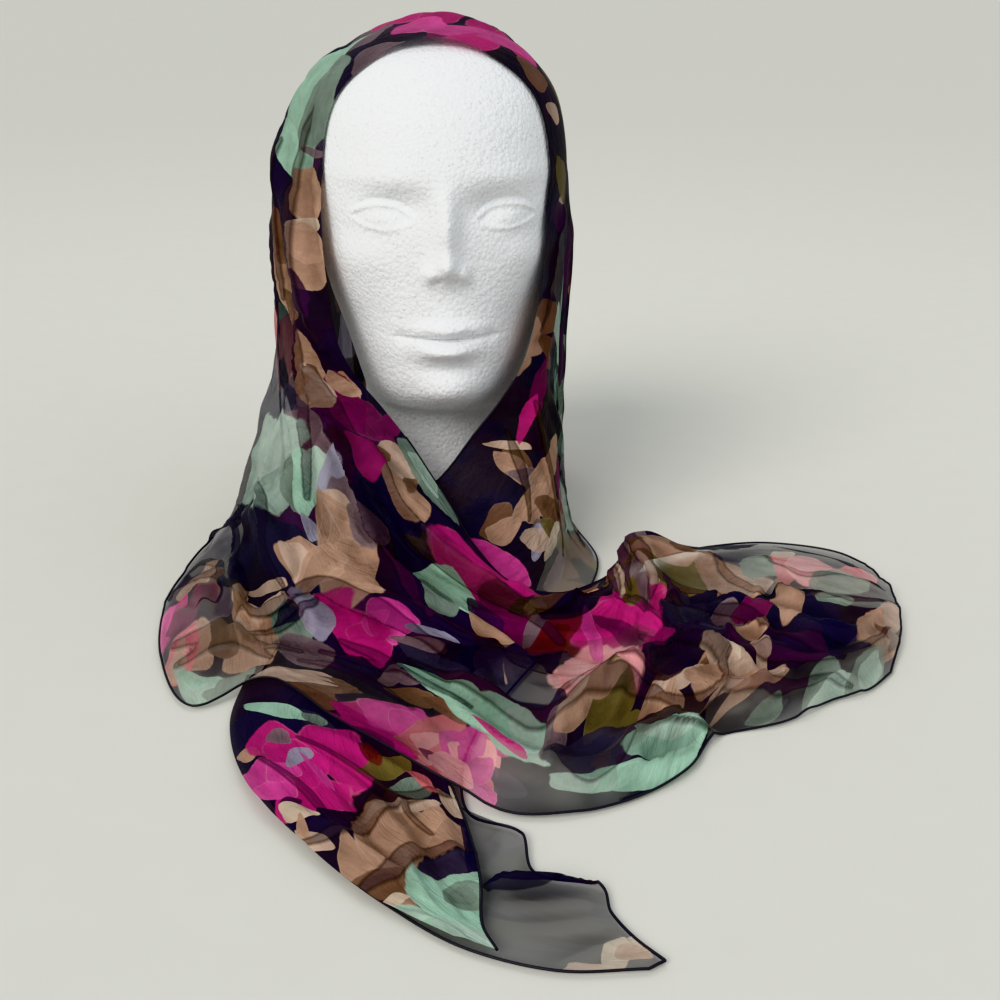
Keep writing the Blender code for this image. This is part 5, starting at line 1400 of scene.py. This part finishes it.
    ("tan", 556, 738, 592, 696, 17), ("tan", 580, 704, 620, 686, 14), ("beige", 560, 728, 588, 698, 6),
    ("tan", 640, 722, 670, 676, 18), ("tan", 642, 716, 680, 700, 20), ("beige", 650, 700, 668, 678, 8),
    ("purpleBlack", 650, 676, 680, 650, 20), ("slate", 548, 768, 636, 742, 38),
    ("slate", 556, 772, 630, 760, 18), ("purpleBlack", 640, 728, 684, 722, 15),
    ("mint", 632, 756, 712, 736, 30), ("paleMint", 640, 744, 700, 732, 10),
    ("mint", 560, 792, 640, 776, 15), ("mint", 600, 786, 706, 754, 24), ("paleMint", 552, 792, 596, 787, 9),
    ("olive", 598, 572, 650, 590, 30), ("olive", 640, 570, 700, 600, 32), ("taupe", 606, 566, 640, 546, 20),
    ("tan", 640, 545, 692, 560, 16), ("taupe", 612, 592, 640, 562, 12), ("beige", 618, 556, 626, 594, 7),
    ("taupe", 636, 560, 646, 604, 9), ("beige", 642, 556, 652, 590, 5), ("tan", 700, 572, 722, 592, 14),
    ("slate", 664, 592, 712, 636, 26), ("darkMagenta", 480, 596, 536, 638, 34),
    ("plum", 466, 600, 500, 628, 18), ("redBrown", 530, 666, 570, 614, 32),
    ("taupe", 524, 650, 546, 610, 13), ("brown", 562, 584, 588, 542, 24),
    ("purpleBlack", 572, 562, 596, 582, 14), ("taupe", 548, 588, 564, 554, 12),
    ("cream", 546, 560, 556, 526, 8), ("navy", 505, 653, 530, 680, 16), ("navy", 520, 670, 548, 698, 16),
    ("navy", 543, 692, 562, 712, 14), ("hotPink", 460, 752, 474, 776, 18),
    ("hotPink", 470, 768, 492, 778, 20), ("hotPink", 464, 784, 490, 802, 14),
    ("salmon", 432, 760, 470, 784, 24), ("purpleBlack", 526, 614, 612, 600, 18),
    ("brown", 534, 608, 600, 596, 12), ("tan", 548, 604, 598, 595, 8),
]
foldOverMotifs = [
    ("slate", 302, 710, 328, 740, 22), ("navy", 238, 740, 302, 720, 45),
    ("purpleBlack", 265, 802, 320, 830, 28), ("navy", 280, 835, 338, 820, 32),
    ("slate", 340, 765, 375, 795, 28), ("purpleBlack", 360, 790, 395, 810, 22),
    ("purpleBlack", 428, 855, 460, 815, 38), ("slate", 408, 880, 470, 850, 38),
    ("purpleBlack", 320, 850, 345, 880, 22), ("mint", 245, 705, 302, 714, 12),
    ("greyMint", 302, 715, 325, 722, 10), ("tan", 240, 760, 258, 748, 15),
    ("hotPink", 248, 772, 288, 785, 40), ("magenta", 250, 748, 305, 742, 35),
    ("magenta", 305, 742, 370, 780, 45), ("magenta", 285, 810, 340, 785, 40),
    ("magenta", 265, 750, 320, 768, 38), ("hotPink", 255, 798, 292, 785, 22),
    ("hotPink", 270, 780, 295, 765, 20), ("lilacGrey", 288, 765, 308, 750, 15),
    ("hotPink", 302, 755, 332, 788, 6), ("taupe", 268, 740, 288, 735, 15),
    ("olive", 362, 775, 408, 762, 22), ("greyMint", 388, 792, 432, 788, 20, "leaf"),
    ("redBrown", 358, 748, 380, 760, 15), ("tan", 350, 888, 432, 808, 68), ("tan", 345, 845, 360, 885, 30),
    ("beige", 350, 820, 435, 802, 8), ("brown", 355, 898, 405, 875, 32), ("tan", 395, 855, 435, 810, 26),
    ("navy", 470, 805, 475, 875, 14), ("navy", 285, 820, 295, 800, 15), ("cream", 290, 822, 312, 812, 22),
    ("beige", 300, 832, 320, 850, 20), ("tan", 302, 820, 308, 845, 10), ("mint", 402, 912, 482, 878, 45),
    ("mint", 420, 932, 492, 945, 48), ("mint", 435, 885, 485, 942, 55),
    ("paleMint", 445, 935, 495, 958, 22), ("greyMint", 445, 898, 480, 900, 22),
    ("paleMint", 395, 915, 420, 925, 20), ("cream", 380, 912, 402, 892, 12),
    ("beige", 435, 795, 460, 812, 12), ("cream", 450, 788, 459, 810, 5), ("coral", 408, 775, 435, 795, 12),
]


def scatterMotifs():  # the same flowers, leaves and loose petals, strewn over what lies behind and beneath
    chance = np.random.RandomState(11)
    found = []
    flowers = (("magenta", "hotPink"), ("tan", "beige"), ("coral", "salmon"), ("taupe", "lilacGrey"))
    leaves = ("mint", "paleMint", "greyMint")
    loose = ("tan", "brown", "taupe", "olive", "slate", "navy", "plum")
    stations = [16.8, 18, 20, 25, 27.5, 29, 31, 34]
    for k in range(210):
        section, share = chance.uniform(16.8, 34.0), chance.uniform(0.0, 1.0)
        # nearer the face edge than this, the motifs are placed one by one
        edge = np.interp(section, stations, [0.45, 0.36, 0.30, 0.26, 0.26, 0.5, 0.9, 0.95])
        if share < edge:
            continue
        kind = k % 7
        if kind < 2:
            outer, inner = flowers[chance.randint(len(flowers))]
            start = chance.uniform(0, 360)
            for petal in range(5):
                turn = start + 72 * petal + chance.uniform(-14, 14)
                away = chance.uniform(0.014, 0.019)
                # a section is about 36 mm along the scarf, and the shares span about 360 mm across it
                along = section + away * math.cos(math.radians(turn)) / 0.036
                across = share + away * math.sin(math.radians(turn)) / 0.36
                found.append((outer if petal % 2 else inner, along, across,
                              chance.uniform(30, 42), chance.uniform(22, 30), turn, "petal"))
        elif kind < 4:
            found.append((leaves[chance.randint(len(leaves))], section, share,
                          chance.uniform(42, 62), chance.uniform(18, 26), chance.uniform(0, 360), "leaf"))
        else:
            found.append((loose[chance.randint(len(loose))], section, share,
                          chance.uniform(28, 48), chance.uniform(18, 30), chance.uniform(0, 360), "petal"))
    return found


def loftScarf(headTree):
    whole = layOut(scarf["sections"], scarf["cells"])
    layFolds(whole, broadFolds + veilFolds(), [])
    whole["grid"][..., 2] = np.maximum(whole["grid"][..., 2], scarf["floorGap"])
    lookAt(whole, np.where(whole["sections"] < scarf["overEnd"], scarf["overNearer"], 0.0)[:, None])
    layFolds(whole, pathsAt(whole, wholeFolds), pathsAt(whole, wholePleats) + veilPleats())
    fine = gathers(whole)
    whole["grid"] = whole["grid"] + outward(whole["grid"]) * fine[..., None]
    drawn = np.interp(whole["sections"], *scarf["drawn"])[:, None]
    whole["hollows"] = np.maximum(hollowShare(whole["rise"] + fine), drawn)
    thin = patchesDepth(whole, [pathAt(whole, patch) for patch in sheerPatches])
    whole["doubled"] = np.minimum(patchesDepth(whole, doubledPatches), -thin)
    whole["grid"][..., 2] = np.maximum(whole["grid"][..., 2], scarf["floorGap"])
    keepClear(whole["grid"], headTree)
    return whole


def loftFoldOver():
    over = layOut(scarf["foldOver"], scarf["foldOverCells"])
    lookAt(over)
    layFolds(over, pathsAt(over, foldOverFolds), pathsAt(over, foldOverPleats))
    over["hollows"] = hollowShare(over["rise"])
    over["doubled"] = np.full(over["rise"].shape, scarf["foldOverDoubled"])
    return over


def layOver(whole, over, headTree):  # the front tail lies lowest, then its folded corner, then the chest
    sections, grid, stride = whole["sections"], whole["grid"], scarf["treeStride"]
    underTree = gridTree(grid[np.searchsorted(sections, scarf["underStart"])::stride, ::stride])
    liftOver(over["grid"], [underTree])
    overEnd = np.searchsorted(sections, scarf["overEnd"]) + 1
    upper = grid[:overEnd].copy()
    liftOver(upper, [underTree, gridTree(over["grid"][::stride, ::stride])])
    fade = np.clip((scarf["overEnd"] - sections[:overEnd]) / scarf["overFade"], 0.0, 1.0)[:, None]
    grid[:overEnd, :, 2] += (upper[..., 2] - grid[:overEnd, :, 2]) * fade
    keepClear(grid, headTree)


def makeHems(whole, over, thread):  # all round but for the bare stretch of the face edge
    grid = whole["grid"]
    innerEnd, innerStart = np.searchsorted(whole["sections"], scarf["bareEdge"])
    rim = np.concatenate([grid[innerStart:, 0], grid[-1, 1:], grid[-2::-1, -1], grid[0, -2::-1],
                          grid[1:innerEnd, 0]])
    radius = scarf["hemWidth"] / 2
    return (rolledHem("rolled_hem", rim, radius, thread),
            rolledHem("tail_fold_hem", over["grid"][:, -1], radius, thread))


headTree = treeOf(head.data)
whole = loftScarf(headTree)
print("scarf lofted and folded")
over = loftFoldOver()
layOver(whole, over, headTree)
print("layers lifted over each other")

chiffon = makeChiffon()
cloth = clothPiece("chiffon_scarf", whole, chiffon)
printPetals(cloth, whole, scatterMotifs() + [motifAt(whole, *motif) for motif in wholeMotifs])
flap = clothPiece("tail_fold", over, chiffon)
printPetals(flap, over, [motifAt(over, *motif) for motif in foldOverMotifs])
hem, overHem = makeHems(whole, over, makeThread())
for piece in (cloth, flap, hem, overHem):
    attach(piece, "root")
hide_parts("hood", "left_spread", "chest", "right_tail", "right_fall", "under_chest", "front_tail")
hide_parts("tail_fold_over")
print("scarf made:", len(cloth.data.polygons) + len(flap.data.polygons), "faces of cloth")
